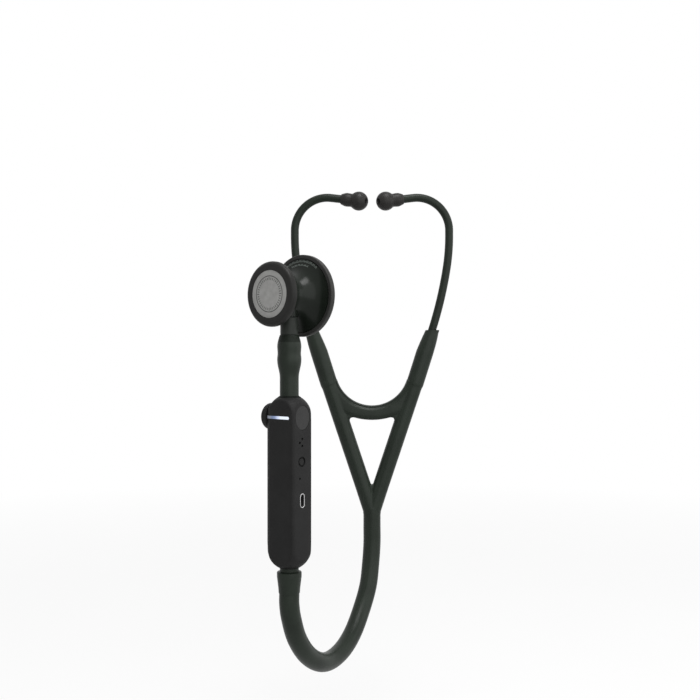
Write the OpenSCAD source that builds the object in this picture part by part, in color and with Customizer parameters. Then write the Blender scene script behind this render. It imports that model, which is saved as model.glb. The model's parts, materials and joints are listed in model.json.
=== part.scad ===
// Digital cardiology stethoscope, upright as it is worn: the ears hold the two ear tips,
// a hand holds the sound module in front, and the hose hangs in a U between them.
// Origin: halfway between the ear tips. +Z up, -Y to the front, +X to the right as seen
// from the front. Millimetres.

/* [Ear tips] */
// Distance between the inner ends of the two ear tips
ear_gap = 5.8; // [4:0.1:16]
// Length of an ear tip
tip_length = 21; // [18:0.5:26]
// Diameter of an ear tip's ball
tip_ball_d = 13.6; // [11:0.1:15]
// Diameter of an ear tip's neck behind its ball
tip_neck_d = 9.2; // [8:0.1:10]
// Diameter of an ear tip's rear collar
tip_collar_d = 9.6; // [8.5:0.1:12]
// Wall of an ear tip at its rear end
tip_lip = 0.9; // [0.6:0.1:1.5]
// Diameter of the sound hole in an ear tip
tip_hole_d = 2.6; // [1.6:0.1:3]

/* [Ear tubes] */
// Outside diameter of an ear tube
ear_tube_d = 5.5; // [5:0.1:6.5]
// Wall of an ear tube
ear_tube_wall = 0.8; // [0.5:0.1:1.2]
// Downward slope of an ear tip towards the ear, in degrees
ear_slope = 7.5; // [0:0.5:12]
// Straight run from the inner end of the ear tip to the top bend
top_run = 26.9; // [24:0.1:36]
// Radius of the top bend
top_bend_r = 23; // [18:0.5:30]
// Straight part of the leg under the top bend
leg_run = 3.8; // [0.5:0.1:20]
// Radius of the leg's upper curve
leg_upper_r = 150; // [100:5:250]
// Angle turned by the leg's upper curve
leg_upper_a = 9; // [5:0.5:12]
// Radius of the leg's lower curve
leg_lower_r = 300; // [200:5:400]
// Lean of the arms from upright, in degrees
arm_lean = 17.5; // [14:0.5:20]
// Distance of the ears in front of the plane that the headset lies in
ear_reach = 7; // [0:0.5:14]
// Length of ear tube that sits in the sleeve
ear_tube_seat = 20; // [12:0.5:28]

/* [Sleeves] */
// Length from the flex point to the sleeve's mouth
sleeve_length = 41.3; // [36:0.1:50]
// Outside diameter of a sleeve
sleeve_d = 11.8; // [11.5:0.1:14]
// Outside diameter of a sleeve at its mouth
mouth_d = 9.4; // [8.4:0.1:11]
// Length over which the sleeve swells from its mouth
swell_length = 16; // [8:0.5:20]
// Height of the sleeve's lower rim above the flex point
cup_rim = 2; // [1.5:0.1:3]

/* [Yoke] */
// Diameter of a yoke limb
limb_d = 10.9; // [10:0.1:11]
// Lean of the yoke's limbs from upright, in degrees
limb_lean = 18.5; // [16:0.5:22]
// Radius of the saddle between the arms
saddle_r = 26; // [22:0.5:28]
// Depth of the saddle's lowest point under the flex points
saddle_drop = 14.4; // [12:0.1:18]
// Height of the crosspiece at the middle
cross_h = 10.4; // [8:0.1:14]
// Radius of the crosspiece's curved lower edge
cross_arc_r = 47; // [42:1:70]
// Thickness of the crosspiece, front to back
cross_t = 9; // [8:0.1:10]
// Diameter of the sound channels in the rubber
lumen_d = 3.6; // [2.5:0.1:4]
// Length of the yoke from the flex points to the stem's end
yoke_length = 101; // [95:0.5:115]
// Thickness of the leaf spring
spring_t = 0.8; // [0.5:0.1:1.2]
// Width of the leaf spring
spring_w = 5.5; // [4:0.1:6]
// Half of the angle that the leaf spring spans
spring_half_a = 46; // [30:1:48]

/* [Hose] */
// Outside diameter of the hose
hose_d = 12.3; // [11.5:0.1:13]
// Length of the collar below the module
collar_length = 14; // [8:0.5:24]
// Diameter of the collar under the module
collar_d = 15; // [13.5:0.1:16.5]

/* [Head position] */
// Sideways position of the stem's axis
head_x = -52.5; // [-80:0.5:-45]
// Position of the stem's axis in front of the ears
head_y = -100; // [-140:1:-80]
// Turn of the chestpiece and the module about the stem, in degrees
head_yaw = 40; // [0:1:60]

/* [Chestpiece] */
// Height of the chestpiece's centre
chest_z = -71.3; // [-80:0.1:-60]
// Distance of the boss's end under the chestpiece's centre
boss_drop = 13.3; // [12.5:0.1:15]
// Radius of the hub between the two heads
hub_r = 10; // [9.6:0.1:12]
// Outside diameter of the large rim
adult_rim_d = 50.4; // [48:0.1:54]
// Diameter of the large diaphragm
adult_disc_d = 42; // [38:0.1:44]
// Distance of the large diaphragm's face from the stem's axis
adult_face = 14.2; // [13.5:0.1:18]
// Outside diameter of the small rim
small_rim_d = 39; // [36:0.1:42]
// Diameter of the small diaphragm
small_disc_d = 29; // [26:0.1:31]
// Distance of the small diaphragm's face from the stem's axis
small_face = 17.7; // [17:0.1:19]
// Thickness of both diaphragms
disc_t = 0.5; // [0.4:0.1:0.8]
// Radius of the large rim's edge
adult_edge_r = 1.4; // [0.8:0.1:1.8]
// Radius of the small rim's edge
small_edge_r = 2.4; // [1:0.1:2.4]

/* [Stem] */
// Diameter of the stem's collar
stem_d = 10.4; // [9:0.1:11]
// Diameter of the stem's journal inside the chestpiece
journal_d = 6.9; // [6:0.1:7.2]
// Running clearance of the journal, on the radius
journal_gap = 0.05; // [0.02:0.01:0.1]
// Length of the stem's collar
stem_collar_h = 10.5; // [8:0.1:14]
// Diameter of the stem's tail in the neck tube
tail_d = 6.4; // [6:0.1:7]
// Length of the stem's tail
tail_length = 20; // [12:0.5:24]
// Diameter of the sound bore
sound_bore_d = 3.2; // [2.4:0.1:3.6]

/* [Neck tube] */
// Outside diameter of the neck tube
neck_d = 11.5; // [10.5:0.1:11.6]
// Length of the neck tube
neck_length = 46.5; // [42:0.5:56]
// Height of the upper bulge
upper_bulge = 1.4; // [0.5:0.1:2]
// Height of the lower bulge
lower_bulge = 1.6; // [0.5:0.1:2.2]

/* [Module] */
// Width of the module
module_w = 22; // [20:0.1:26]
// Depth of the module, front to back
module_d = 17; // [16.5:0.1:19]
// Radius of the module's long edges
module_edge_r = 2; // [1.2:0.1:2.5]
// Length of the module
module_length = 107; // [100:1:125]
// Radius of the domed ends
dome_r = 13.6; // [13.3:0.1:15]
// Wall of the module's case
case_wall = 1.6; // [1.2:0.1:2]
// Thickness of the rear cover
cover_t = 1.6; // [1.2:0.1:1.6]

/* [Controls] */
// Distance of the two round controls and the light under the module's top
control_drop = 14.5; // [13:0.1:20]
// Diameter of the power button
power_d = 14.4; // [12:0.1:14.6]
// Diameter of the volume knob
knob_d = 15; // [13:0.1:15.5]
// Height of the volume knob on its side face
knob_h = 4.7; // [3:0.1:6]
// Length of the light bar
light_l = 14.4; // [8:0.1:17]
// Height of the light bar
light_h = 2; // [1.2:0.1:3]
// Diameter of the pairing button
pair_d = 4.4; // [3.5:0.1:5]
// Distance of the pairing button under the module's top
pair_drop = 41; // [38:0.5:44]
// Distance of the microphone vents under the module's top
vent_drop = 29.5; // [27:0.5:32]
// Distance of the reset pinhole under the module's top
reset_drop = 51.8; // [49:0.1:55]
// Distance of the charging port under the module's top
port_drop = 64.5; // [60:0.5:72]
// Height of the charging port's trim ring
port_h = 8.8; // [8.4:0.1:10]
// Width of the charging port's trim ring
port_w = 4.2; // [3.8:0.1:5]

/* [Hidden] */
$fn = 72;

// Clearances
fit_gap = 0.05;         // between pieces that are seated on each other
flex_gap = 0.3;         // between the yoke's ball ends and the sleeves' cups
slip_gap = 0.1;         // between a button, a knob or a tube and its opening
cut = 1;                // how far a cut runs past the face that it opens

// Rubber colours and the rest
rubber = "#2b302c";
graphite = "#262626";
steel = "#c4c7ca";

// ---- Arm path, from the flex point up to the ear tip ----
lower_a = arm_lean - leg_upper_a;               // angle turned by the leg's lower curve
arm_run = sleeve_length + 0.5;                  // straight part, from flex point to curve
top_a = 90 + ear_slope;                         // angle turned by the top bend
reach_out = top_bend_r * (1 + sin(ear_slope)) + top_run * cos(ear_slope);
forward_a = asin(ear_reach / reach_out);        // turn of the top bend towards the viewer
leg_x = ear_gap / 2 + reach_out * cos(forward_a);
leg_top_z = top_run * sin(ear_slope) - top_bend_r * cos(ear_slope);
curve_dx = leg_upper_r * (1 - cos(leg_upper_a))
    + leg_lower_r * (cos(leg_upper_a) - cos(arm_lean));
curve_dz = leg_upper_r * sin(leg_upper_a)
    + leg_lower_r * (sin(arm_lean) - sin(leg_upper_a));
flex_x = leg_x - curve_dx - arm_run * sin(arm_lean);
flex_z = leg_top_z - leg_run - curve_dz - arm_run * cos(arm_lean);
tube_in = sleeve_length - ear_tube_seat;        // height of the ear tube's lower end
tube_bore_d = ear_tube_d - 2 * ear_tube_wall;
seat_d = ear_tube_d - 0.2;                      // turned end of the ear tube in the sleeve
TUBE_SIDES = 20;
bead_d = ear_tube_d + 1.1;                      // bead that keeps the ear tube in its sleeve
bead_h = 1.2;
bead_z = tube_in + 3;
tube_in_tip = 14;                               // length of ear tube inside the ear tip

// ---- Yoke ----
ball_r = limb_d / 2;
cup_r = ball_r + flex_gap;
saddle_z = flex_z - saddle_drop;
saddle_c = saddle_z + saddle_r;
cross_bottom = saddle_z - cross_h;
stem_end_z = flex_z - yoke_length;
limb_length = flex_x / sin(limb_lean);          // from the flex point to where the limbs meet
meet_z = flex_z - limb_length * cos(limb_lean);
spring_r = saddle_r + cross_h / 2;
stem_lumen_d = lumen_d + 0.6;
locating_hole_d = 1.6;                          // at the back, where the mould holds the spring

// ---- Head: chestpiece, stem and module share one upright axis ----
adult_flange_r = adult_rim_d / 2 - 1.6;
small_flange_r = small_rim_d / 2 - 1.6;
flange_step = 1.2;                              // how far a rim hooks behind its flange
flange_t = 2.2;
disc_gap = 0.4;                                 // between a diaphragm and its flange
lip_t = 1.1;
rim_sink = 0.15;                                // rim's face below the diaphragm's face
boss_r = stem_d / 2 + 0.2;
boss_end = chest_z - boss_drop;
stem_top = boss_end - 0.3;                      // top of the stem's collar
stem_bottom = stem_top - stem_collar_h;
journal_top = chest_z + 3.5;
seal_z = boss_end + 1.8;
clip_z = boss_end + 4.4;
ball_z = boss_end + 8.9;
wire_d = 0.8;                                   // wire of the stem's clip
detent_d = 2;
detent_groove = 0.3;                            // depth of the groove that the ball rides in
ball_x = journal_d / 2 - detent_groove + detent_d / 2 + 0.04;
screw_from = ball_x + detent_d / 2 + 1.6;       // inner end of the detent's plug screw
screw_to = screw_from + 1.4;
tail_end = stem_bottom - tail_length;
neck_end = stem_bottom - neck_length;
bulge_top = stem_bottom - 5.7;                  // height of the upper bulge's crest
bulge_low = stem_bottom - 15;
bulge_top_w = 7;
bulge_low_w = 11;

// ---- Module ----
module_top = neck_end + 11.2;
module_bottom = module_top - module_length;
control_z = module_top - control_drop;
side_y = -0.8;                                  // middle of the controls on the side faces
cover_y = module_d / 2 - cover_t;
half_w = module_w / 2;
inner_w = module_w - 2 * case_wall;
board_t = 1;
board_y = -module_d / 2 + case_wall + 2.4;      // front of the circuit board
board_w = inner_w - 1;
board_top = control_z - power_d / 2 - 0.4;
board_bottom = module_bottom + 22;
board_back = board_y + board_t;
socket_l = 5.2;                                 // depth of the charging socket
socket_face = half_w - 0.6;                     // its mouth, inside the case's right face
battery_t = 5;
battery_w = 13.6;
battery_right = socket_face - socket_l - 0.4;
battery_drop = 45;                              // of the battery under the module's top
battery_top = module_top - battery_drop;
battery_bottom = board_bottom + 4;
post_x = 6.4;
post_d = 4.4;
post_drop = 25;                                 // of the upper posts under the module's top
post_rise = 18;                                 // of the lower posts over its bottom
post_zs = [module_top - post_drop, module_bottom + post_rise];
plug_w = 6;                                     // of the battery's plug on the board
plug_h = 6;
screw_d = 2;
screw_head_t = 1;
spigot_t = 1;                                   // how far the cover's spigot enters the case
barb_d = tail_d;
barb_length = 8;
barb_flange_d = 12.4;
barb_flange_t = 1.5;
upper_barb_z = neck_end - fit_gap;
board_tip = upper_barb_z - barb_flange_t - 0.15; // top of the board's tongue
lower_tube_end = module_bottom + 10;
lower_barb_z = lower_tube_end + fit_gap;
collar_top = module_bottom + 0.6;
hose_top = module_bottom - collar_length;
vent_circle_r = 2.2;                            // the three vents lie on this circle
vent_d = 1.2;
power_t = 2;
power_travel = 0.8;
pair_travel = 0.4;
pair_sink = 0.2;                                // its face below the side face
switch_gap = 0.1;                               // between a pressed button and its switch
plunger_l = 1.6;                                // of the power button, behind its cap
pair_l = 3.4;                                   // length of the pairing button
knob_gap = 0.3;                                 // between the knob and the side face
knob_shaft_d = 5;
encoder_t = 3;
encoder_bore = 2.2;                             // depth of the encoder's bore for the shaft
tongue_w = 0.7;
emitter_pitch = 4.4;
emitter_w = 1.8;

// ---- Route of the hose, from the yoke's stem to the collar under the module ----
HOSE_BEND = [
    [0, 7, -242.5], [-1, 5, -256.5], [-3, 0, -271.5], [-8, -9, -286.5],
    [-14, -22, -298.5], [-21, -37, -305.5], [-29, -53, -307.5], [-36, -68, -303.5],
    [-43, -81, -294.5], [-48.5, -91.5, -281.5], [-51.5, -98, -267.5], [-52.5, -100, -258.5]
];
HOSE_ROUTE = concat([[0, ear_reach, stem_end_z]], HOSE_BEND, [[head_x, head_y, hose_top]]);
HOSE_SIDES = 12;

// ---------- Paths and small helpers ----------

module past_bend(r, a) {
    translate([-r + r * cos(a), 0, r * sin(a)]) rotate([0, -a, 0]) children();
}

module up(z) {
    translate([0, 0, z]) children();
}

// A flat ring with its middle at height z.
module ring(z, h, r_in, r_out) {
    up(z - h / 2) linear_extrude(height = h) difference() {
        circle(r = r_out);
        circle(r = r_in);
    }
}

// The right arm's frame: at the flex point, +Z along the arm.
module arm() {
    translate([flex_x, ear_reach, flex_z]) rotate([0, arm_lean, 0]) children();
}

module arm_at(side) {
    if (side < 0) mirror([1, 0, 0]) arm() children();
    else arm() children();
}

// One step along a path. A frame is [place, sideways, forwards], and a step is
// [chord, turn away from sideways, roll before the step].
function step_on(f, s) =
    let (a = s[1] / 2)
    let (x0 = cos(s[2]) * f[1] + sin(s[2]) * cross(f[2], f[1]))
    let (z1 = cos(a) * f[2] - sin(a) * x0, x1 = cos(a) * x0 + sin(a) * f[2])
    [f[0] + s[0] * z1, cos(a) * x1 + sin(a) * z1, cos(a) * z1 - sin(a) * x1];
function walk(f, steps, i = 0) =
    i == len(steps) ? [f] : concat([f], walk(step_on(f, steps[i]), steps, i + 1));
function bend_steps(r, a, n, roll = 0) =
    [for (k = [1 : n]) [2 * r * sin(a / n / 2), a / n, k == 1 ? roll : 0]];

// The frames along an ear tube, from the sleeve's mouth to the tube's end in the ear tip.
function ear_tube_frames() = walk(
    [[0, 0, sleeve_length + 0.2], [1, 0, 0], [0, 0, 1]],
    concat(
        [[arm_run - sleeve_length - 0.2, 0, 0]],
        bend_steps(leg_lower_r, lower_a, 6),
        bend_steps(leg_upper_r, leg_upper_a, 5),
        [[leg_run, 0, 0]],
        bend_steps(top_bend_r, top_a, 13, forward_a),
        [[top_run - tip_length + tube_in_tip, 0, 0]]
    ));

function ring_of(f, r, n) = [for (k = [0 : n - 1])
    f[0] + r * (cos(360 * k / n) * f[1] + sin(360 * k / n) * cross(f[2], f[1]))];
function side_faces(rings, n, from) = [for (i = [0 : rings - 2], k = [0 : n - 1])
    [from + i * n + k, from + i * n + (k + 1) % n,
        from + (i + 1) * n + (k + 1) % n, from + (i + 1) * n + k]];
function flipped(faces) = [for (f = faces) [for (k = [len(f) - 1 : -1 : 0]) f[k]]];

// A tube swept along frames, with an open bore.
module swept_tube(frames, d, bore, n) {
    rings = len(frames);
    all = rings * n;
    last = (rings - 1) * n;
    points = concat(
        [for (f = frames) each ring_of(f, d / 2, n)],
        [for (f = frames) each ring_of(f, bore / 2, n)]);
    ends = [for (k = [0 : n - 1]) each [
        [all + k, all + (k + 1) % n, (k + 1) % n, k],
        [last + k, last + (k + 1) % n, all + last + (k + 1) % n, all + last + k]
    ]];
    polyhedron(points = points,
        faces = flipped(concat(side_faces(rings, n, 0),
            flipped(side_faces(rings, n, all)), ends)));
}

// The frame at the inner end of the ear tip, +Z pointing out of it towards the ear.
module at_ear() {
    up(arm_run) past_bend(leg_lower_r, lower_a) past_bend(leg_upper_r, leg_upper_a)
        up(leg_run) rotate([0, 0, forward_a]) past_bend(top_bend_r, top_a)
            up(top_run) children();
}

// The head's frame: on the stem's axis, -Y out of the front, +X out of the right side.
module head() {
    translate([head_x, head_y, 0]) rotate([0, 0, -head_yaw]) children();
}

// The chestpiece's turning frame: +Z out of the small head.
module chest() {
    head() translate([0, 0, chest_z]) rotate([90, 0, 0]) children();
}

module slot_bar(l, h, t) {
    cube([t, h, l - h], center = true);
    for (s = [-1, 1]) translate([0, 0, s * (l - h) / 2]) rotate([0, 90, 0])
        cylinder(h = t, d = h, center = true);
}

// ---------- Headset ----------

// The right limb's frame: at the flex point, +Z down along the limb.
module limb() {
    translate([flex_x, ear_reach, flex_z]) rotate([0, 180 + limb_lean, 0]) children();
}

// Half of a limb's outline: a ball end at the flex point and a straight rod below it.
module limb_outline() {
    square([ball_r, limb_length]);
    intersection() {
        circle(r = ball_r);
        translate([0, -ball_r]) square([ball_r, ball_r + 0.5]);
    }
}

module cross_outline() {
    difference() {
        intersection() {
            polygon([
                [-flex_x, flex_z], [flex_x, flex_z],
                [flex_x - (flex_z - cross_bottom) * tan(limb_lean), cross_bottom],
                [-flex_x + (flex_z - cross_bottom) * tan(limb_lean), cross_bottom]
            ]);
            translate([0, cross_bottom + cross_arc_r]) circle(r = cross_arc_r);
        }
        translate([0, saddle_c]) circle(r = saddle_r);
    }
}

module leaf(extra) {
    translate([0, ear_reach, saddle_c]) rotate([90, 0, 0])
        rotate([0, 0, -90 - spring_half_a - extra])
            rotate_extrude(angle = 2 * (spring_half_a + extra))
                translate([spring_r, 0])
                    square([spring_t + 2 * extra, spring_w + 2 * extra], center = true);
}

// The right half of the yoke, up to the middle plane.
module yoke_half() {
    difference() {
        intersection() {
            union() {
                limb() rotate_extrude() limb_outline();
                translate([0, ear_reach, 0]) rotate([90, 0, 0])
                    linear_extrude(height = cross_t, center = true) cross_outline();
                translate([0, ear_reach, stem_end_z])
                    cylinder(h = meet_z + 6 - stem_end_z, d = hose_d);
            }
            translate([0, ear_reach - limb_d, stem_end_z - cut])
                cube([2 * flex_x, 2 * limb_d, 2 * yoke_length]);
        }
        limb() up(-ball_r - cut) cylinder(h = limb_length + ball_r + cut, d = lumen_d);
        translate([0, ear_reach, stem_end_z + 4])
            cylinder(h = meet_z - stem_end_z - 3, d = stem_lumen_d);
        leaf(slip_gap);
        translate([0, ear_reach, saddle_c - spring_r]) rotate([-90, 0, 0])
            cylinder(h = cross_t, d = locating_hole_d);
    }
}

module yoke() {
    color(rubber) {
        yoke_half();
        mirror([1, 0, 0]) yoke_half();
    }
}

module yoke_leaf_spring() {
    color(steel) leaf(0);
}

module socket_sleeve(side) {
    mouth_top = sleeve_length + mouth_d / 2 * tan(arm_lean) + 0.1;
    color(rubber) arm_at(side) difference() {
        rotate_extrude() polygon([
            [0, cup_rim], [sleeve_d / 2, cup_rim],
            [sleeve_d / 2, sleeve_length - swell_length],
            [(sleeve_d * 0.7 + mouth_d * 0.3) / 2, sleeve_length - swell_length * 0.6],
            [mouth_d / 2, sleeve_length - 1.6], [mouth_d / 2, mouth_top], [0, mouth_top]
        ]);
        // The mouth is cut level.
        up(sleeve_length) rotate([0, -arm_lean, 0])
            cylinder(h = mouth_d, r = mouth_d);
        sphere(r = cup_r);
        cylinder(h = sleeve_length, d = lumen_d);
        up(tube_in - 0.5) cylinder(h = ear_tube_seat + cut, d = seat_d + 2 * fit_gap);
        up(sleeve_length) cylinder(h = 3 * cut, d = ear_tube_d + 4 * slip_gap);
        up(bead_z - bead_h / 2 - 0.2)
            cylinder(h = bead_h + 0.4, d = bead_d + 0.3);
    }
}

module ear_tube(side) {
    seat_top = sleeve_length + 2;
    color(rubber) arm_at(side) {
        swept_tube(ear_tube_frames(), ear_tube_d, tube_bore_d - 0.1, TUBE_SIDES);
        ring((tube_in + seat_top) / 2, seat_top - tube_in, tube_bore_d / 2, seat_d / 2);
        ring(bead_z, bead_h, tube_bore_d / 2, bead_d / 2);
    }
}

module ear_tip(side) {
    ball_l = tip_length * 0.55;
    taper_l = 3.4;
    color("#37322f") arm_at(side) at_ear() difference() {
        union() {
            up(-tip_ball_d / 2) intersection() {
                sphere(d = tip_ball_d);
                up(-ball_l + tip_ball_d / 2) cylinder(h = ball_l + cut, d = tip_ball_d + cut);
            }
            up(-tip_length) rotate_extrude() polygon([
                [0, 0], [ear_tube_d / 2 + tip_lip, 0], [tip_collar_d / 2, taper_l],
                [tip_collar_d / 2, taper_l + 2.4], [tip_neck_d / 2, taper_l + 4.4],
                [tip_neck_d / 2, tip_length - tip_ball_d / 2], [0, tip_length - tip_ball_d / 2]
            ]);
        }
        up(-tip_length - cut) cylinder(h = tube_in_tip + cut, d = ear_tube_d + 2 * fit_gap);
        up(-tip_length) cylinder(h = tip_length + cut, d = tip_hole_d);
    }
}

// ---------- Hose ----------

function unit(v) = v / norm(v);
function route_way(i) =
    let (n = len(HOSE_ROUTE))
    unit(HOSE_ROUTE[min(i + 1, n - 1)] - HOSE_ROUTE[max(i - 1, 0)]);

// The frames along the hose; their first direction lies across the U's plane.
function hose_frames() =
    let (across = unit(cross(HOSE_ROUTE[len(HOSE_ROUTE) - 1] - HOSE_ROUTE[0], [0, 0, -1])))
    [for (i = [0 : len(HOSE_ROUTE) - 1]) [HOSE_ROUTE[i], across, route_way(i)]];

module main_hose() {
    n = HOSE_SIDES;
    frames = hose_frames();
    last = (len(frames) - 1) * n;
    color(rubber) polyhedron(
        points = [for (f = frames) each ring_of(f, hose_d / 2, n)],
        faces = flipped(concat(side_faces(len(frames), n, 0),
            [[for (k = [n - 1 : -1 : 0]) k]], [[for (k = [0 : n - 1]) last + k]])));
}

module hose_collar() {
    color(rubber) head() difference() {
        rotate_extrude() polygon([
            [0, lower_tube_end], [neck_d / 2, lower_tube_end],
            [neck_d / 2, module_bottom - 1.2], [collar_d / 2, module_bottom - 1.2],
            [collar_d / 2, module_bottom - 4], [hose_d / 2 + 0.5, hose_top + 3],
            [hose_d / 2 + 0.3, hose_top], [0, hose_top]
        ]);
        up(lower_tube_end - barb_length - 0.5)
            cylinder(h = barb_length + 0.5 + cut, d = barb_d + 2 * fit_gap);
        up(hose_top + 4) cylinder(h = lower_tube_end - hose_top, d = lumen_d);
    }
}

// ---------- Module ----------

// A box with rounded long edges.
module rounded_box(w, d, r, z0, z1) {
    up(z0) linear_extrude(height = z1 - z0) {
        square([w - 2 * r, d], center = true);
        square([w, d - 2 * r], center = true);
        for (x = [-1, 1], y = [-1, 1])
            translate([x * (w / 2 - r), y * (d / 2 - r)]) circle(r = r);
    }
}

// The module's outer form, made smaller all round by inset.
module case_form(inset, depth = module_d) {
    r = dome_r - inset;
    intersection() {
        rounded_box(module_w - 2 * inset, depth - 2 * inset,
            max(module_edge_r - inset, 0.4), module_bottom - cut, module_top + cut);
        union() {
            up(module_top - dome_r) sphere(r = r);
            up(module_bottom + dome_r) sphere(r = r);
            up(module_bottom + dome_r) cylinder(h = module_length - 2 * dome_r, r = r);
        }
    }
}

// Half space behind a plane across the module.
module behind(y) {
    translate([-module_w, y, module_bottom - cut])
        cube([2 * module_w, module_d, module_length + 2 * cut]);
}

// A hole in a side face: side is +1 for the right face and -1 for the left one.
module side_hole(side, z, d, y = side_y, depth = case_wall + cut) {
    translate([side * (half_w - depth), y, z]) rotate([0, side * 90, 0])
        cylinder(h = depth + cut, d = d);
}

module screw_places() {
    for (x = [-1, 1], z = post_zs) translate([x * post_x, 0, z]) rotate([-90, 0, 0]) children();
}

module module_case() {
    floor_y = -module_d / 2 + case_wall;
    color(graphite) head() difference() {
        union() {
            difference() {
                case_form(0);
                case_form(case_wall);
                behind(cover_y);
            }
            intersection() {
                case_form(case_wall / 2);
                screw_places() up(floor_y - 0.2)
                    cylinder(h = cover_y - 1.4 - floor_y, d = post_d);
            }
        }
        screw_places() cylinder(h = cover_y + cut, d = screw_d);
        up(module_top - 12) cylinder(h = 12 + cut, d = neck_d + 2 * slip_gap);
        up(module_bottom - cut) cylinder(h = 12 + cut, d = neck_d + 2 * slip_gap);
        side_hole(1, control_z, power_d + 2 * slip_gap, side_y, power_t + power_travel + slip_gap);
        side_hole(-1, control_z, knob_shaft_d + 2 * fit_gap);
        side_hole(1, module_top - pair_drop, pair_d + 2 * slip_gap);
        translate([half_w - 0.5, side_y, module_top - pair_drop]) rotate([0, 90, 0])
            cylinder(h = cut, d = pair_d + 1.6);
        for (k = [0 : 2])
            side_hole(1, module_top - vent_drop + vent_circle_r * sin(120 * k + 60), vent_d,
                side_y - 1.6 + vent_circle_r * cos(120 * k + 60));
        side_hole(1, module_top - reset_drop, 1.2, side_y - 2.6);
        translate([half_w, side_y, module_top - port_drop])
            slot_bar(port_h + 2 * fit_gap, port_w + 2 * fit_gap, 3 * case_wall);
        translate([0, -module_d / 2, control_z]) rotate([0, 0, 90])
            rotate([90, 0, 0]) slot_bar(light_l + 2 * fit_gap, light_h + 2 * fit_gap,
                3 * case_wall);
    }
}

module module_rear_cover() {
    color(graphite) head() difference() {
        intersection() {
            case_form(0);
            behind(cover_y - spigot_t);
        }
        // The step round the spigot, which enters the case.
        difference() {
            translate([-module_w, cover_y - spigot_t - cut, module_bottom - cut])
                cube([2 * module_w, spigot_t + cut + fit_gap, module_length + 2 * cut]);
            case_form(case_wall + slip_gap, module_d + 4 * case_wall);
        }
        up(module_bottom - cut)
            cylinder(h = module_length + 2 * cut, d = barb_flange_d + 2 * slip_gap);
        translate([0, side_y, control_z]) rotate([0, 90, 0])
            cylinder(h = half_w, d = power_d + 2 * slip_gap);
        screw_places() {
            up(cover_y - spigot_t - cut)
                cylinder(h = spigot_t + cover_t + 2 * cut, d = screw_d + 0.3);
            up(cover_y + cover_t - screw_head_t - 0.2)
                cylinder(h = screw_head_t + cut, d = screw_d + 2.2);
        }
    }
}

module cover_screws() {
    color(steel) head() screw_places() difference() {
        union() {
            up(cover_y - 5) cylinder(h = 5 + cover_t - screw_head_t, d = screw_d - 2 * fit_gap);
            up(cover_y + cover_t - screw_head_t - 0.2 + fit_gap)
                cylinder(h = screw_head_t, d = screw_d + 1.8);
        }
        up(cover_y + cover_t - 0.9) cylinder(h = 1, d = 1.5, $fn = 6);
    }
}

module light_guide() {
    color("#e8f0ff") head()
        translate([0, -module_d / 2 + case_wall / 2 + 0.3, control_z]) rotate([0, 0, 90])
            rotate([90, 0, 0]) slot_bar(light_l, light_h, case_wall + 0.6);
}

module light_emitters() {
    front = -module_d / 2 + case_wall + 0.7;
    color("#f2e9b0") head() for (k = [-1 : 1])
        translate([k * emitter_pitch - emitter_w / 2, front, control_z - 0.7])
            cube([emitter_w, board_y - fit_gap - front, 1.4]);
}

module circuit_board() {
    color("#1d4d33") head() difference() {
        union() {
            translate([-board_w / 2, board_y, board_bottom])
                cube([board_w, board_t, board_top - board_bottom]);
            translate([-half_w + case_wall + encoder_t + 0.4, board_y, board_top - fit_gap])
                cube([board_w / 2 + half_w - case_wall - encoder_t - 2, board_t,
                    board_tip - board_top]);
            translate([1 - plug_w, board_back - fit_gap, battery_top + plug_h / 2])
                cube([plug_w, 1.2, plug_h]);
        }
        screw_places() up(-module_d / 2)
            cylinder(h = module_d, d = post_d + 2 * slip_gap);
    }
}

module battery() {
    color("#8a8f96") head()
        translate([battery_right - battery_w, board_back + 0.3, battery_bottom])
            cube([battery_w, battery_t, battery_top - battery_bottom]);
}

module microphone() {
    color("#b9b48c") head() up(upper_barb_z - barb_flange_t - 0.4 - 2.2)
        cylinder(h = 2.2, d = 5.4);
}

module speaker() {
    color("#3a3a3a") head() up(lower_barb_z + barb_flange_t + 0.1) {
        cylinder(h = 2.4, d = 11.4);
        up(2.4 - fit_gap) cylinder(h = 1, d = 7);
    }
}

// A hose barb: a flange with a ribbed nipple that the rubber tube is pushed on to.
module barb() {
    difference() {
        union() {
            up(-barb_flange_t) cylinder(h = barb_flange_t, d = barb_flange_d);
            cylinder(h = barb_length, d = barb_d);
        }
        up(-barb_flange_t - cut) cylinder(h = barb_length + barb_flange_t + 2 * cut, d = lumen_d);
    }
}

module upper_barb() {
    color(graphite) head() up(upper_barb_z) barb();
}

module lower_barb() {
    color(graphite) head() up(lower_barb_z) mirror([0, 0, 1]) barb();
}

module power_switch() {
    l = 3.2;
    face = half_w - power_t - plunger_l - power_travel - switch_gap;
    color("#d8d8d8") head() translate([face - l, board_back, control_z - 2.4])
        cube([l, 3, 3.8]);
}

module pairing_switch() {
    l = 2.4;
    face = half_w - pair_sink - pair_l - pair_travel - switch_gap;
    color("#d8d8d8") head()
        translate([face - l, board_back, module_top - pair_drop - 1.5])
            cube([l, 3, 3]);
}

module volume_encoder() {
    color("#5a5f66") head() translate([-half_w + case_wall + 0.1, side_y, control_z])
        rotate([0, 90, 0]) difference() {
            cylinder(h = encoder_t, d = 10);
            up(-cut) cylinder(h = encoder_bore + cut, d = knob_shaft_d + 2 * fit_gap);
        }
}

module charging_socket() {
    l = socket_l;
    color(steel) head() translate([socket_face - l / 2, side_y, module_top - port_drop])
        difference() {
            slot_bar(port_h - 1.2, port_w - 1.4, l);
            translate([0.5, 0, 0]) difference() {
                slot_bar(port_h - 1.8, port_w - 2, l);
                translate([-0.8, 0, 0]) cube([l, tongue_w, port_h - 3.6], center = true);
            }
        }
}

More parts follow.
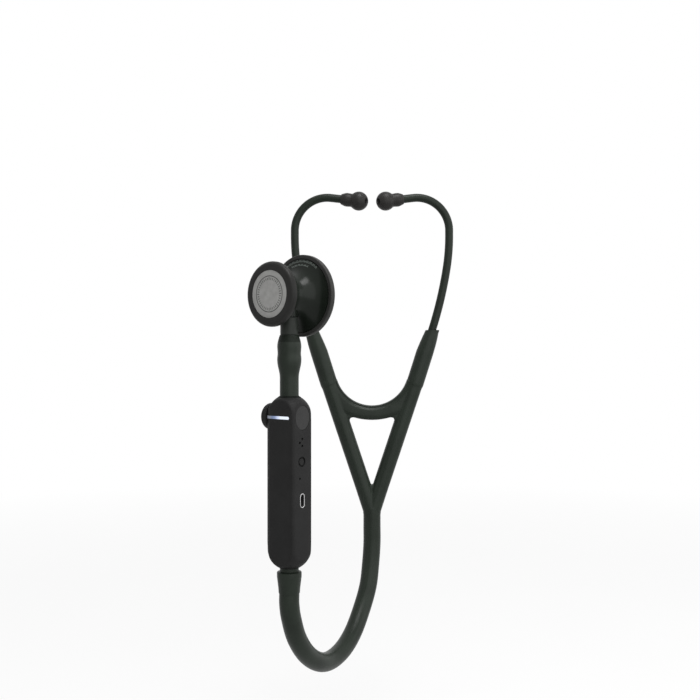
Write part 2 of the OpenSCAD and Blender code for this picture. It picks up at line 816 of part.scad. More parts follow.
module port_trim_ring() {
    color(steel) head() translate([half_w - 0.4, side_y, module_top - port_drop])
        difference() {
            slot_bar(port_h, port_w, 1);
            slot_bar(port_h - 1.2 + 2 * fit_gap, port_w - 1.4 + 2 * fit_gap, 2);
        }
}

module volume_knob() {
    r = knob_d / 2;
    edge = 1.8;
    color("#202020") head() translate([-half_w - knob_gap, side_y, control_z])
        rotate([0, -90, 0]) {
        rotate_extrude() union() {
            square([r - edge, knob_h]);
            square([r, knob_h - edge]);
            translate([r - edge, knob_h - edge]) circle(r = edge);
        }
        up(-case_wall - encoder_bore) cylinder(h = case_wall + encoder_bore + cut, d = knob_shaft_d);
    }
}

module power_button() {
    color("#3c3c3c") head() translate([half_w, side_y, control_z]) rotate([0, 90, 0]) {
        up(-power_t) cylinder(h = power_t, d = power_d);
        up(-power_t - plunger_l) cylinder(h = plunger_l + cut, d = 3);
    }
}

module pairing_button() {
    color("#3c3c3c") head() translate([half_w - pair_sink, side_y, module_top - pair_drop])
        rotate([0, 90, 0]) up(-pair_l) cylinder(h = pair_l, d = pair_d);
}

// ---------- Neck tube and stem ----------

function bump(u) = abs(u) < 1 ? pow(cos(90 * u), 2) : 0;
function neck_r(z) = neck_d / 2 + upper_bulge * bump((z - bulge_top) / bulge_top_w)
    + lower_bulge * bump((z - bulge_low) / bulge_low_w);

module neck_tube() {
    low = bulge_low - bulge_low_w;
    steps = 24;
    color(rubber) head() difference() {
        rotate_extrude() polygon(concat(
            [[0, neck_end], [neck_d / 2, neck_end]],
            [for (k = [0 : steps]) let (z = low + (stem_bottom - low) * k / steps)
                [neck_r(z), z - (k == steps ? fit_gap : 0)]],
            [[0, stem_bottom - fit_gap]]
        ));
        up(tail_end - 0.3) cylinder(h = tail_length + cut, d = tail_d + 2 * fit_gap);
        up(neck_end - cut) cylinder(h = barb_length + 0.3 + cut, d = barb_d + 2 * fit_gap);
        up(neck_end) cylinder(h = neck_length - cut, d = lumen_d);
    }
}

module stem() {
    r = journal_d / 2;
    color("#303330") head() difference() {
        union() {
            up(stem_bottom) cylinder(h = stem_collar_h, d = stem_d);
            up(stem_top - cut) cylinder(h = journal_top - stem_top + cut, r = r);
            up(tail_end) cylinder(h = tail_length + cut, d = tail_d);
        }
        up(tail_end - cut) cylinder(h = chest_z - tail_end + cut + 1.6, d = sound_bore_d);
        translate([0, 0, chest_z]) rotate([-90, 0, 0]) cylinder(h = r + cut, d = sound_bore_d);
        ring(clip_z, wire_d + 0.1, r - wire_d / 2 - fit_gap, r + cut);
        ring(seal_z, 1.1, r - 0.8, r + cut);
        up(ball_z) rotate_extrude() translate([ball_x, 0]) circle(d = detent_d + 0.06);
    }
}

module stem_clip() {
    r = journal_d / 2 + wire_d / 2 - 0.4;
    color(steel) head() up(clip_z) rotate([0, 0, 20])
        rotate_extrude(angle = 320) translate([r, 0]) circle(d = wire_d);
}

module stem_seal() {
    r = journal_d / 2;
    color("#1a1a1a") head() up(seal_z) rotate_extrude()
        translate([r - 0.4, 0]) circle(d = 0.78);
}

// The detent's hole runs sideways out of the hub, square to the heads' axis.
module detent_frame() {
    head() up(ball_z) rotate([0, -90, 0]) children();
}

module detent_ball() {
    color(steel) detent_frame() up(ball_x) sphere(d = detent_d);
}

module detent_spring() {
    from = ball_x + detent_d / 2 - 0.2;
    color(steel) detent_frame() ring((from + screw_from) / 2, screw_from - from - 2 * fit_gap,
        detent_d / 2 - 0.45, detent_d / 2 - 0.1);
}

module detent_screw() {
    color(steel) detent_frame() difference() {
        up(screw_from) cylinder(h = screw_to - screw_from, d = detent_d);
        up(screw_to - 0.7) cylinder(h = 1, d = 0.9, $fn = 6);
    }
}

// ---------- Chestpiece ----------

module flange_outline(flange_r, face) {
    front = face - disc_t - disc_gap;
    translate([0, front - flange_t]) square([flange_r, flange_t]);
}

// The turned body's outline: hub, a flare to each side and the two flanges.
module body_outline() {
    small_back = small_face - disc_t - disc_gap - flange_t;
    adult_back = adult_face - disc_t - disc_gap - flange_t;
    small_flare = small_flange_r - flange_step - hub_r;
    adult_flare = adult_flange_r - flange_step - hub_r;
    difference() {
        union() {
            translate([0, -adult_back]) square([hub_r + adult_flare, adult_back]);
            square([hub_r + small_flare, small_back]);
        }
        translate([hub_r + adult_flare, -adult_back + 1.2 + adult_flare])
            circle(r = adult_flare);
        translate([hub_r + small_flare, small_back - 0.3 - small_flare])
            circle(r = small_flare);
        translate([hub_r, -adult_back + 1.2 + adult_flare])
            square([adult_flare + cut,
                small_back - 0.3 - small_flare + adult_back - 1.2 - adult_flare]);
    }
    flange_outline(small_flange_r, small_face);
    mirror([0, 1]) flange_outline(adult_flange_r, adult_face);
}

module chest_body() {
    small_front = small_face - disc_t - disc_gap;
    adult_front = adult_face - disc_t - disc_gap;
    r = journal_d / 2 + journal_gap;
    color("#191d1a") {
        difference() {
            union() {
                chest() rotate_extrude() body_outline();
                head() up(boss_end) cylinder(h = boss_drop - journal_gap, r = boss_r);
            }
            chest() {
                up(small_front - 1.4) cylinder(h = 1.4 + cut, r1 = 5, r2 = 13.2);
                mirror([0, 0, 1]) up(adult_front - 1.8)
                    cylinder(h = 1.8 + cut, r1 = 6, r2 = 19);
                up(-adult_front) cylinder(h = adult_front + small_front, d = sound_bore_d);
            }
            head() {
                up(boss_end - cut) cylinder(h = journal_top + 0.3 - boss_end + cut, r = r);
                up(clip_z - wire_d / 2 - 0.15)
                    cylinder(h = wire_d + 0.3, r = journal_d / 2 + wire_d - 0.25);
            }
            detent_frame() cylinder(h = hub_r + cut, d = detent_d + 2 * fit_gap);
        }
    }
}

module diaphragm(d, face) {
    up(face - disc_t) cylinder(h = disc_t, d = d);
}

// A rubber rim that hooks over its flange and holds the diaphragm by its edge.
module rim(rim_d, disc_d, flange_r, face, edge_r) {
    front = face - rim_sink;
    flange_front = face - disc_t - disc_gap + fit_gap;
    flange_back = face - disc_t - disc_gap - flange_t - fit_gap;
    back = flange_back - lip_t;
    r = rim_d / 2;
    rotate_extrude() polygon(concat(
        [[disc_d / 2 + fit_gap, front]],
        [for (a = [90 : -15 : 0]) [r - edge_r + edge_r * cos(a), front - edge_r + edge_r * sin(a)]],
        [[r, back + 0.6], [r - 0.6, back], [flange_r - flange_step + fit_gap, back],
            [flange_r - flange_step + fit_gap, flange_back], [flange_r + fit_gap, flange_back],
            [flange_r + fit_gap, flange_front], [disc_d / 2 + fit_gap, flange_front]]
    ));
}

module adult_diaphragm() {
    color("#2a2a28") chest() mirror([0, 0, 1]) diaphragm(adult_disc_d, adult_face);
}

module adult_rim() {
    color("#2b2c29") chest() mirror([0, 0, 1])
        rim(adult_rim_d, adult_disc_d, adult_flange_r, adult_face, adult_edge_r);
}

module small_diaphragm() {
    color("#8d8d8b") chest() diaphragm(small_disc_d, small_face);
}

module small_rim() {
    color("#2b2c29") chest()
        rim(small_rim_d, small_disc_d, small_flange_r, small_face, small_edge_r);
}

yoke();
yoke_leaf_spring();
main_hose();
hose_collar();
socket_sleeve(-1);  // left_socket_sleeve
socket_sleeve(1);  // right_socket_sleeve
ear_tube(-1);  // left_ear_tube
ear_tube(1);  // right_ear_tube
ear_tip(-1);  // left_ear_tip
ear_tip(1);  // right_ear_tip
module_case();
module_rear_cover();
cover_screws();
light_guide();
light_emitters();
circuit_board();
battery();
microphone();
speaker();
upper_barb();
lower_barb();
power_switch();
pairing_switch();
volume_encoder();
charging_socket();
port_trim_ring();
volume_knob();
power_button();
pairing_button();
neck_tube();
stem();
stem_clip();
detent_ball();
detent_spring();
stem_seal();
detent_screw();
chest_body();
adult_diaphragm();
adult_rim();
small_diaphragm();
small_rim();
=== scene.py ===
"""Looks of the stethoscope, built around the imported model. Sizes are in millimetres until a mesh
is made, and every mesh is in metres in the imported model's frame."""

import json
import math

import bmesh
import bpy
from mathutils import Matrix, Vector


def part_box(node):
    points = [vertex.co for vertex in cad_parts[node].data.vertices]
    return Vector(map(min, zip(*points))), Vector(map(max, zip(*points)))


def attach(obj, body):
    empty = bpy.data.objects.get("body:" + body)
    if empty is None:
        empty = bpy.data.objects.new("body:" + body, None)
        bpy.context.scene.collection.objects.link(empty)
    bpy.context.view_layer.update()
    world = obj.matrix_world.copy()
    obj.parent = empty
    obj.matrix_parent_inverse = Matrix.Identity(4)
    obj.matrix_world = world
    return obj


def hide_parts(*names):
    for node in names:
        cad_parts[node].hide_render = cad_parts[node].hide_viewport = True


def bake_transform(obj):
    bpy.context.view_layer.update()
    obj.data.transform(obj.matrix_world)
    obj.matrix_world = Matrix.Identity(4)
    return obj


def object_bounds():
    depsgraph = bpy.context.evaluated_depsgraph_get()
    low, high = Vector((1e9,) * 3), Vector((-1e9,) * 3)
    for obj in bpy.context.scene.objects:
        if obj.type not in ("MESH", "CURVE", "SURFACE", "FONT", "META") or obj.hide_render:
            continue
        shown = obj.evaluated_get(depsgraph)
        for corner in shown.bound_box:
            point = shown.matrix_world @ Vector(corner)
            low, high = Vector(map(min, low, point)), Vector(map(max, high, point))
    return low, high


MM = 0.001
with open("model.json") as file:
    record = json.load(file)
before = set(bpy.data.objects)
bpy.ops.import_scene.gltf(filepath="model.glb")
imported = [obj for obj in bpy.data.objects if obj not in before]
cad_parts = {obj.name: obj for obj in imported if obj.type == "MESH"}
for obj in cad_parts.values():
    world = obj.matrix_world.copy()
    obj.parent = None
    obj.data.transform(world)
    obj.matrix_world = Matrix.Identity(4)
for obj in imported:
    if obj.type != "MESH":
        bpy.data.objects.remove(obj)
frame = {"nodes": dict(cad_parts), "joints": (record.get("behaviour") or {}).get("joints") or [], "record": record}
cad_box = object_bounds()
joints = {j["name"]: j for j in frame["joints"]}
node_slot = {s["node"]: s["material_slot"] for s in frame["record"]["subparts"]}

# ---------- Places taken from the frame ----------


def middle(node):
    """Middle of a CAD node's box, in millimetres."""
    low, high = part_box(node)
    return (low + high) / 2 / MM


def top(node):
    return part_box(node)[1].z / MM


def bottom(node):
    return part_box(node)[0].z / MM


HEAD_YAW = 40  # turn of the chestpiece and the module about their own upright axis, in degrees
MODULE_LENGTH = 107
CONTROL_DROP = 14.5  # from the module's top to the line that its bar, knob and button sit on
GUIDE_HALF_H = 1
HEAD = Matrix.Translation(Vector((middle("stem").x, middle("stem").y, 0))) @ Matrix.Rotation(
    math.radians(-HEAD_YAW), 4, "Z"
)
CHEST_Z = middle("small_diaphragm").z
CHEST = HEAD @ Matrix.Translation((0, 0, CHEST_Z)) @ Matrix.Rotation(math.radians(90), 4, "X")
FLEX = Vector(joints["right_arm_spread"]["pos_m"]) / MM
EAR_REACH = FLEX.y
STEM_END = bottom("yoke")
MODULE_TOP = top("light_guide") - GUIDE_HALF_H + CONTROL_DROP
MODULE_BOTTOM = MODULE_TOP - MODULE_LENGTH
CONTROL_Z = middle("light_guide").z
HOSE_TOP = bottom("hose_collar")
STEM_BOTTOM = top("neck_tube")
NECK_END = bottom("neck_tube")

# ---------- Camera ----------

# Level, on the photo's own line of sight.
camera_data = bpy.data.cameras.new("camera")
camera_data.sensor_width = 36
camera_data.lens = 50.9
camera_data.clip_start = 0.01
camera = bpy.data.objects.new("camera", camera_data)
bpy.context.scene.collection.objects.link(camera)
camera.location = (-0.0157, -0.700, -0.10455)
camera.rotation_euler = (math.radians(90), 0, 0)
bpy.context.scene.camera = camera

# ---------- Mesh helpers ----------


def make_object(name, vertices, faces, indices=None):
    """A mesh object from points in millimetres."""
    mesh = bpy.data.meshes.new(name)
    mesh.from_pydata([Vector(v) * MM for v in vertices], [], faces)
    if indices:
        mesh.polygons.foreach_set("material_index", indices)
    mesh.update()
    obj = bpy.data.objects.new(name, mesh)
    bpy.context.scene.collection.objects.link(obj)
    return obj


def rings_joined(rows, n):
    """The faces between rows of n points, where every row is a closed ring."""
    faces = []
    for i in range(rows - 1):
        for k in range(n):
            m = (k + 1) % n
            faces.append((i * n + k, i * n + m, (i + 1) * n + m, (i + 1) * n + k))
    return faces


def end_faces(rows, n):
    """The two faces that close the first and the last ring."""
    return [tuple(range(n - 1, -1, -1)), tuple((rows - 1) * n + k for k in range(n))]


def weld(obj, distance=0.002):
    bm = bmesh.new()
    bm.from_mesh(obj.data)
    bmesh.ops.remove_doubles(bm, verts=bm.verts, dist=distance * MM)
    bmesh.ops.recalc_face_normals(bm, faces=bm.faces)
    bm.to_mesh(obj.data)
    bm.free()
    return obj


def smooth(obj, angle=35):
    obj.data.polygons.foreach_set("use_smooth", [True] * len(obj.data.polygons))
    obj.data.set_sharp_from_angle(angle=math.radians(angle))
    obj.data.update()
    return obj


def apply_modifiers(obj):
    graph = bpy.context.evaluated_depsgraph_get()
    mesh = bpy.data.meshes.new_from_object(obj.evaluated_get(graph))
    obj.modifiers.clear()
    old = obj.data
    obj.data = mesh
    bpy.data.meshes.remove(old)
    return obj


def bevel(obj, width, segments=3, angle=40):
    m = obj.modifiers.new("bevel", "BEVEL")
    m.width = width * MM
    m.segments = segments
    m.limit_method = "ANGLE"
    m.angle_limit = math.radians(angle)
    m.miter_outer = "MITER_ARC"
    return apply_modifiers(obj)


def boolean(obj, operation, others):
    """Cuts the others out of obj or adds them to it, and removes them."""
    for other in others:
        m = obj.modifiers.new("boolean", "BOOLEAN")
        m.operation = operation
        m.solver = "EXACT"
        m.object = other
        apply_modifiers(obj)
        bpy.data.objects.remove(other)
    return obj


def subtract(obj, *cutters):
    return boolean(obj, "DIFFERENCE", cutters)


def unite(obj, *others):
    return boolean(obj, "UNION", others)


def filleted(corners, steps=5):
    """A profile with rounded corners. A corner is (r, z) or (r, z, radius)."""
    points = []
    for i, corner in enumerate(corners):
        here = Vector(corner[:2])
        radius = corner[2] if len(corner) > 2 else 0
        if not radius or i in (0, len(corners) - 1):
            points.append(here)
            continue
        back = (Vector(corners[i - 1][:2]) - here).normalized()
        ahead = (Vector(corners[i + 1][:2]) - here).normalized()
        half = math.acos(max(-1, min(1, back.dot(ahead)))) / 2
        reach = radius / math.tan(half)
        centre = here + (back + ahead).normalized() * radius / math.sin(half)
        start = here + back * reach - centre
        end = here + ahead * reach - centre
        turn = start.angle_signed(end)
        for k in range(steps + 1):
            a = -turn * k / steps
            points.append(centre + Vector((
                start.x * math.cos(a) - start.y * math.sin(a),
                start.x * math.sin(a) + start.y * math.cos(a),
            )))
    return points


def lathe(name, profile, place, sides=96, bands=None):
    """A turned form round place's +Z. bands maps a profile step to a material index."""
    vertices, indices = [], []
    profile = [Vector(p[:2]) for p in profile]
    for p in profile:
        for k in range(sides):
            a = 2 * math.pi * k / sides
            vertices.append(place @ Vector((p.x * math.cos(a), p.x * math.sin(a), p.y)))
    for i in range(len(profile) - 1):
        indices += [(bands or {}).get(i, 0)] * sides
    faces = rings_joined(len(profile), sides)
    return smooth(weld(make_object(name, vertices, faces, indices), 0.004))


def sweep(name, frames, radii, sides=32):
    """A round tube along frames of (place, across, ahead), with closed ends."""
    vertices = []
    for (place, across, ahead), radius in zip(frames, radii):
        other = ahead.cross(across)
        for k in range(sides):
            a = 2 * math.pi * k / sides
            vertices.append(place + radius * (math.cos(a) * across + math.sin(a) * other))
    faces = rings_joined(len(frames), sides) + end_faces(len(frames), sides)
    return smooth(make_object(name, vertices, faces), 50)


def prism(name, low, high):
    """A closed form between two outlines with as many points."""
    n = len(low)
    return weld(make_object(name, [*low, *high], rings_joined(2, n) + end_faces(2, n)))


def cylinder(name, place, radius, low, high, sides=48):
    return lathe(name, [(0, low), (radius, low), (radius, high), (0, high)], place, sides)


def copied(obj, name):
    copy = obj.copy()
    copy.data = obj.data.copy()
    copy.name = name
    bpy.context.scene.collection.objects.link(copy)
    return copy


def mirrored(obj, name):
    """A copy on the other side of the plane X = 0."""
    copy = copied(obj, name)
    copy.data.transform(Matrix.Scale(-1, 4, (1, 0, 0)))
    copy.data.flip_normals()
    return copy


def finished(obj, body, slot_name, materials, *nodes):
    """Gives a piece its material and its body, and hides the CAD nodes that it stands for. slot_name is not used.
    """
    for m in materials if isinstance(materials, list) else [materials]:
        obj.data.materials.append(m)
    if body:
        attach(obj, body)
    if nodes:
        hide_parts(*nodes)
    return obj


# ---------- Materials ----------


def srgb(text):
    """A colour written as #rrggbb, in linear light."""
    values = [int(text[i : i + 2], 16) / 255 for i in (1, 3, 5)]
    return [v / 12.92 if v <= 0.04045 else ((v + 0.055) / 1.055) ** 2.4 for v in values] + [1]


def material(name, dark, light, roughness, grain, bump, specular=0.5, patch=60, metallic=0,
             rough_swing=0.08):
    """A surface with colour that varies softly between dark and light over patches, a roughness
    that wanders with it, and a fine grain. patch and grain are noise scales, per metre."""
    m = bpy.data.materials.new(name)
    m.use_nodes = True
    nodes, links = m.node_tree.nodes, m.node_tree.links
    shader = nodes["Principled BSDF"]
    shader.inputs["Metallic"].default_value = metallic
    shader.inputs["Specular IOR Level"].default_value = specular
    where = nodes.new("ShaderNodeTexCoord")

    def noise(scale, detail):
        node = nodes.new("ShaderNodeTexNoise")
        node.inputs["Scale"].default_value = scale
        node.inputs["Detail"].default_value = detail
        links.new(where.outputs["Object"], node.inputs["Vector"])
        return node.outputs["Fac"]

    wide = noise(patch, 4)
    colour = nodes.new("ShaderNodeValToRGB")
    colour.color_ramp.elements[0].position = 0.3
    colour.color_ramp.elements[0].color = srgb(dark)
    colour.color_ramp.elements[1].position = 0.7
    colour.color_ramp.elements[1].color = srgb(light)
    links.new(wide, colour.inputs["Fac"])
    links.new(colour.outputs["Color"], shader.inputs["Base Color"])
    rough = nodes.new("ShaderNodeMapRange")
    rough.inputs["To Min"].default_value = max(roughness - rough_swing, 0.02)
    rough.inputs["To Max"].default_value = min(roughness + rough_swing, 1)
    links.new(noise(patch * 7, 3), rough.inputs["Value"])
    links.new(rough.outputs["Result"], shader.inputs["Roughness"])
    if bump:
        relief = nodes.new("ShaderNodeBump")
        relief.inputs["Strength"].default_value = bump
        relief.inputs["Distance"].default_value = 0.0001
        links.new(noise(grain, 2), relief.inputs["Height"])
        links.new(relief.outputs["Normal"], shader.inputs["Normal"])
    return m


rubber = material("hose_rubber", "#1d221d", "#232923", 0.36, 2600, 0.2, specular=0.12)
# Painted shade: a darker copy of the hose rubber for the neck's top, where the chestpiece casts shade.
painted_shade_rubber = material("neck_top_painted_shade", "#111611", "#171c17", 0.5, 2600, 0.2, specular=0.1)
tube_paint = material("ear_tube_paint", "#181d18", "#1d231d", 0.34, 1500, 0.1, specular=0.12)
tip_rubber = material("ear_tip_silicone", "#201f1e", "#272625", 0.4, 1800, 0.1, specular=0.13)
# Painted shadow: a near-black material for the ring where the neck shades the module's dome.
painted_contact_shadow = material("painted_contact_shadow", "#070907", "#0c0f0c", 0.55, 2600, 0.2, specular=0.07)
rim_rubber = material("rim_rubber", "#1e1e1d", "#242423", 0.42, 2600, 0.2, specular=0.11)
# Painted light: a lighter copy of the rim rubber for the large rim, whose side faces the lamps.
adult_rim_painted_light = material("adult_rim_painted_light", "#282827", "#2e2e2d", 0.4, 2600, 0.2,
                            specular=0.12)
black_metal = material("chest_black_metal", "#141814", "#1a1e1a", 0.24, 900, 0.04, specular=0.13,
                       rough_swing=0.04)
stem_metal = material("stem_metal", "#212421", "#272a27", 0.38, 1500, 0.08, specular=0.12)
grey_disc = material("disc_grey", "#868684", "#929290", 0.42, 5000, 0.35, specular=0.25, patch=300)
mark_ink = material("mark_ink", "#747c77", "#848c87", 0.5, 3000, 0.1, specular=0.3)
disc_ink = material("disc_ink", "#242424", "#2a2a2a", 0.5, 5000, 0.1, specular=0.3)
dark_disc = material("disc_dark", "#232322", "#2a2a28", 0.36, 5000, 0.3, specular=0.4, patch=200)
case_plastic = material("case_plastic", "#1c1c1c", "#222222", 0.5, 5200, 0.4, specular=0.08)
control_plastic = material("control_plastic", "#2f2f2f", "#353535", 0.55, 4200, 0.3, specular=0.07)
steel = material("steel", "#a9acb0", "#c6c9cc", 0.28, 3000, 0.15, metallic=1)
trim = material("port_trim", "#bdbdbd", "#cfcfcf", 0.3, 3000, 0.1, metallic=1)
board_green = material("board_green", "#123a24", "#1c4d33", 0.4, 2000, 0.2)
cell_wrap = material("cell_wrap", "#7c8188", "#8c9198", 0.35, 1500, 0.2)
dark_part = material("dark_part", "#2c2c2c", "#3c3c3c", 0.5, 2500, 0.3)
seal_rubber = material("seal_rubber", "#121212", "#1a1a1a", 0.5, 2500, 0.2)
# Black for the charging socket, and painted shade inside the ear tips' sound holes.
socket_black_and_hole_shade = material("socket_black_and_hole_shade", "#0b0b0b", "#101010", 0.6, 2500, 0.2)


def light_material():
    """The lit bar: brighter to its right end, bluer and dimmer to its left end."""
    m = bpy.data.materials.new("light_bar")
    m.use_nodes = True
    nodes, links = m.node_tree.nodes, m.node_tree.links
    shader = nodes["Principled BSDF"]
    where = nodes.new("ShaderNodeTexCoord")
    split = nodes.new("ShaderNodeSeparateXYZ")
    ramp = nodes.new("ShaderNodeValToRGB")
    stops = ramp.color_ramp.elements
    stops[0].position = 0.1
    stops[0].color = srgb("#74777f")
    stops[1].position = 0.58
    stops[1].color = srgb("#eef4ff")
    for place, colour in ((0.22, "#5d6a89"), (0.34, "#7886ab"), (0.48, "#d3dcf8")):
        stops.new(place).color = srgb(colour)
    links.new(where.outputs["Generated"], split.inputs["Vector"])
    links.new(split.outputs["X"], ramp.inputs["Fac"])
    links.new(ramp.outputs["Color"], shader.inputs["Emission Color"])
    shader.inputs["Emission Strength"].default_value = 0.95
    shader.inputs["Base Color"].default_value = srgb("#404858")
    shader.inputs["Roughness"].default_value = 0.4
    return m


light_bar = light_material()

SLOT_MATERIALS = {
    "tubing": rubber, "ear_tube": tube_paint, "ear_tip": tip_rubber, "rim": rim_rubber,
    "chest_metal": black_metal, "stem_metal": stem_metal, "grey_disc": grey_disc,
    "dark_disc": dark_disc, "case": case_plastic, "control": control_plastic, "steel": steel,
    "light": light_bar, "board": board_green, "cell": cell_wrap, "electronics": dark_part,
    "seal": seal_rubber,
}
for node, obj in frame["nodes"].items():
    obj.data.materials.clear()
    obj.data.materials.append(SLOT_MATERIALS[node_slot[node]])

# ---------- Hose: a free cord ----------

HOSE_D = 12.3
HOSE_BEND = [
    (0, 7, -242.5), (-1, 5, -256.5), (-3, 0, -271.5), (-8, -9, -286.5),
    (-14, -22, -298.5), (-21, -37, -305.5), (-29, -53, -307.5), (-36, -68, -303.5),
    (-43, -81, -294.5), (-48.5, -91.5, -281.5), (-51.5, -98, -267.5), (-52.5, -100, -258.5),
]
head_axis = HEAD.to_translation()
hose_points = [Vector((0, EAR_REACH, STEM_END))]
hose_points += [Vector(p) for p in HOSE_BEND]
hose_points += [Vector((head_axis.x, head_axis.y, HOSE_TOP))]


def curve_through(points, steps=6):
    """A smooth curve through points, with straight ends."""
    ends = [points[0] * 2 - points[1], points[-1] * 2 - points[-2]]
    p = [ends[0], *points, ends[1]]
    line = []
    for i in range(1, len(p) - 2):
        for k in range(steps):
            t = k / steps
            line.append(0.5 * (
                2 * p[i] + (p[i + 1] - p[i - 1]) * t
                + (2 * p[i - 1] - 5 * p[i] + 4 * p[i + 1] - p[i + 2]) * t * t
                + (3 * p[i] - p[i - 1] - 3 * p[i + 1] + p[i + 2]) * t * t * t
            ))
    return line + [points[-1]]


def frames_along(line, across):
    """Frames along a line, carried on from the first direction across it."""
    frames = []
    for i, place in enumerate(line):
        ahead = (line[min(i + 1, len(line) - 1)] - line[max(i - 1, 0)]).normalized()
        across = (across - across.dot(ahead) * ahead).normalized()
        frames.append((place, across, ahead))
    return frames


hose_line = curve_through(hose_points)
hose_frames = frames_along(hose_line, Vector((1, 0, 0)))
hose = sweep("hose", hose_frames, [HOSE_D / 2] * len(hose_frames), 48)
finished(hose, "yoke_and_module", "tubing", rubber, "main_hose")

# ---------- Headset rubber: yoke and both sleeves in one skin ----------

ARM_LEAN = math.radians(17.5)
LIMB_LEAN = math.radians(18.5)
LIMB_R = 5.72
LIMB_SET = 0.2
SLEEVE_R = 6.15
SLEEVE_SET = (-0.18, 0.3)  # how far outwards a sleeve's lower part and its mouth are set
SLEEVE_SHIFT = (22, 38)  # between these heights it goes from the one to the other
MOUTH_R = 4.75
SLEEVE_LENGTH = 41.3
SADDLE_R = 26
SADDLE_Z = FLEX.z - 14.4  # the saddle's lowest point
CROSS_H = 10.4  # the crosspiece's height there
CROSS_ARC_R = 47  # radius of its lower edge
CROSS_HALF_T = 4.6
CROSS_HALF_A = 73  # half the angle that the crosspiece spans round the saddle's centre
WEB_APEX = (0.7, 3.2)  # radius and half depth of the fillet where the limbs meet
WEB_UPPER = (1.8, 3.6)  # and of those under the crosspiece
SKIN_VOXEL = 0.42  # the skin is remeshed at this step,
SKIN_PASSES = 12  # and smoothed this many times
EAR_BORE_R = 2.95
arm_way = Vector((math.sin(ARM_LEAN), 0, math.cos(ARM_LEAN)))
limb_way = Vector((math.sin(LIMB_LEAN), 0, math.cos(LIMB_LEAN)))


def along(origin, way):
    """A frame with +Z along way."""
    return Matrix.Translation(origin) @ way.to_track_quat("Z", "Y").to_matrix().to_4x4()


def on_side(side, v):
    """A place or way of the right side (1), or its mirror image on the left side (-1)."""
    return Vector((side * v.x, v.y, v.z))


def ramp(u, start, end):
    """A soft rise from 0 at start to 1 at end."""
    t = max(0, min(1, (u - start) / (end - start)))
    return t * t * (3 - 2 * t)


def sleeve_form(side):
    """The rubber round an ear tube's lower end, from the flex point up."""
    way = on_side(side, arm_way)
    flex = on_side(side, FLEX)
    over = MOUTH_R * math.tan(ARM_LEAN) + 0.2
    profile = [
        (0, -3.4), (SLEEVE_R - 1, -3.4), (SLEEVE_R, 0.9), (SLEEVE_R, SLEEVE_LENGTH - 17),
        (5.7, SLEEVE_LENGTH - 9.6), (5.2, SLEEVE_LENGTH - 4.6), (MOUTH_R, SLEEVE_LENGTH - 0.8),
        (MOUTH_R, SLEEVE_LENGTH + over), (0, SLEEVE_LENGTH + over),
    ]
    obj = lathe("sleeve_form", profile, along(flex, way), 64)
    # Its lower part sits a little further in than its axis, and its mouth a little further out.
    outward = Vector((side * arm_way.z, 0, -arm_way.x))
    for v in obj.data.vertices:
        u = ramp((v.co / MM - flex).dot(way), *SLEEVE_SHIFT)
        v.co += outward * (SLEEVE_SET[0] * (1 - u) + SLEEVE_SET[1] * u) * MM
    return obj


def limb_form(side):
    """A limb, from the flex point down to where both limbs meet."""
    length = FLEX.x / math.sin(LIMB_LEAN)
    profile = [(0, -length - 2), (LIMB_R + 0.2, -length - 2), (LIMB_R, -length + 20),
               (LIMB_R, -3), (LIMB_R, 1), (0, 1)]
    start = Vector((side * (FLEX.x - LIMB_SET), FLEX.y, FLEX.z))
    return lathe("limb_form", profile, along(start, on_side(side, limb_way)), 48)


def web(name, corner, one_way, other_way, radius, half_depth):
    """Fills a corner of the headset's front view with a concave fillet."""
    corner, one_way, other_way = (Vector(v) for v in (corner, one_way, other_way))
    outline = [corner - 1.6 * (one_way + other_way)]
    bend = [corner + 20 * one_way, (*corner, radius), corner + 20 * other_way]
    outline += filleted(bend, 8)[1:-1]
    return prism(name, *([(p.x, EAR_REACH + y, p.y) for p in outline]
                         for y in (-half_depth, half_depth)))


def webs():
    """The fillets at the three corners of the opening between the limbs."""
    way = Vector((limb_way.x, limb_way.z))
    start = Vector((FLEX.x - LIMB_SET, FLEX.z)) + LIMB_R * Vector((-way.y, way.x))
    arc_z = SADDLE_Z - CROSS_H + CROSS_ARC_R
    out = start - Vector((0, arc_z))
    b = out.dot(way)
    t = b + math.sqrt(b * b - out.length_squared + CROSS_ARC_R ** 2)
    corner = start - t * way
    radial = (corner - Vector((0, arc_z))).normalized()
    apex = start - way * (start.x / way.x)
    forms = [web("web", apex, way, (-way.x, way.y), *WEB_APEX)]
    for side in (-1, 1):
        forms.append(web("web", (side * corner.x, corner.y), (-side * way.x, -way.y),
                         (side * radial.y, -radial.x), *WEB_UPPER))
    return forms


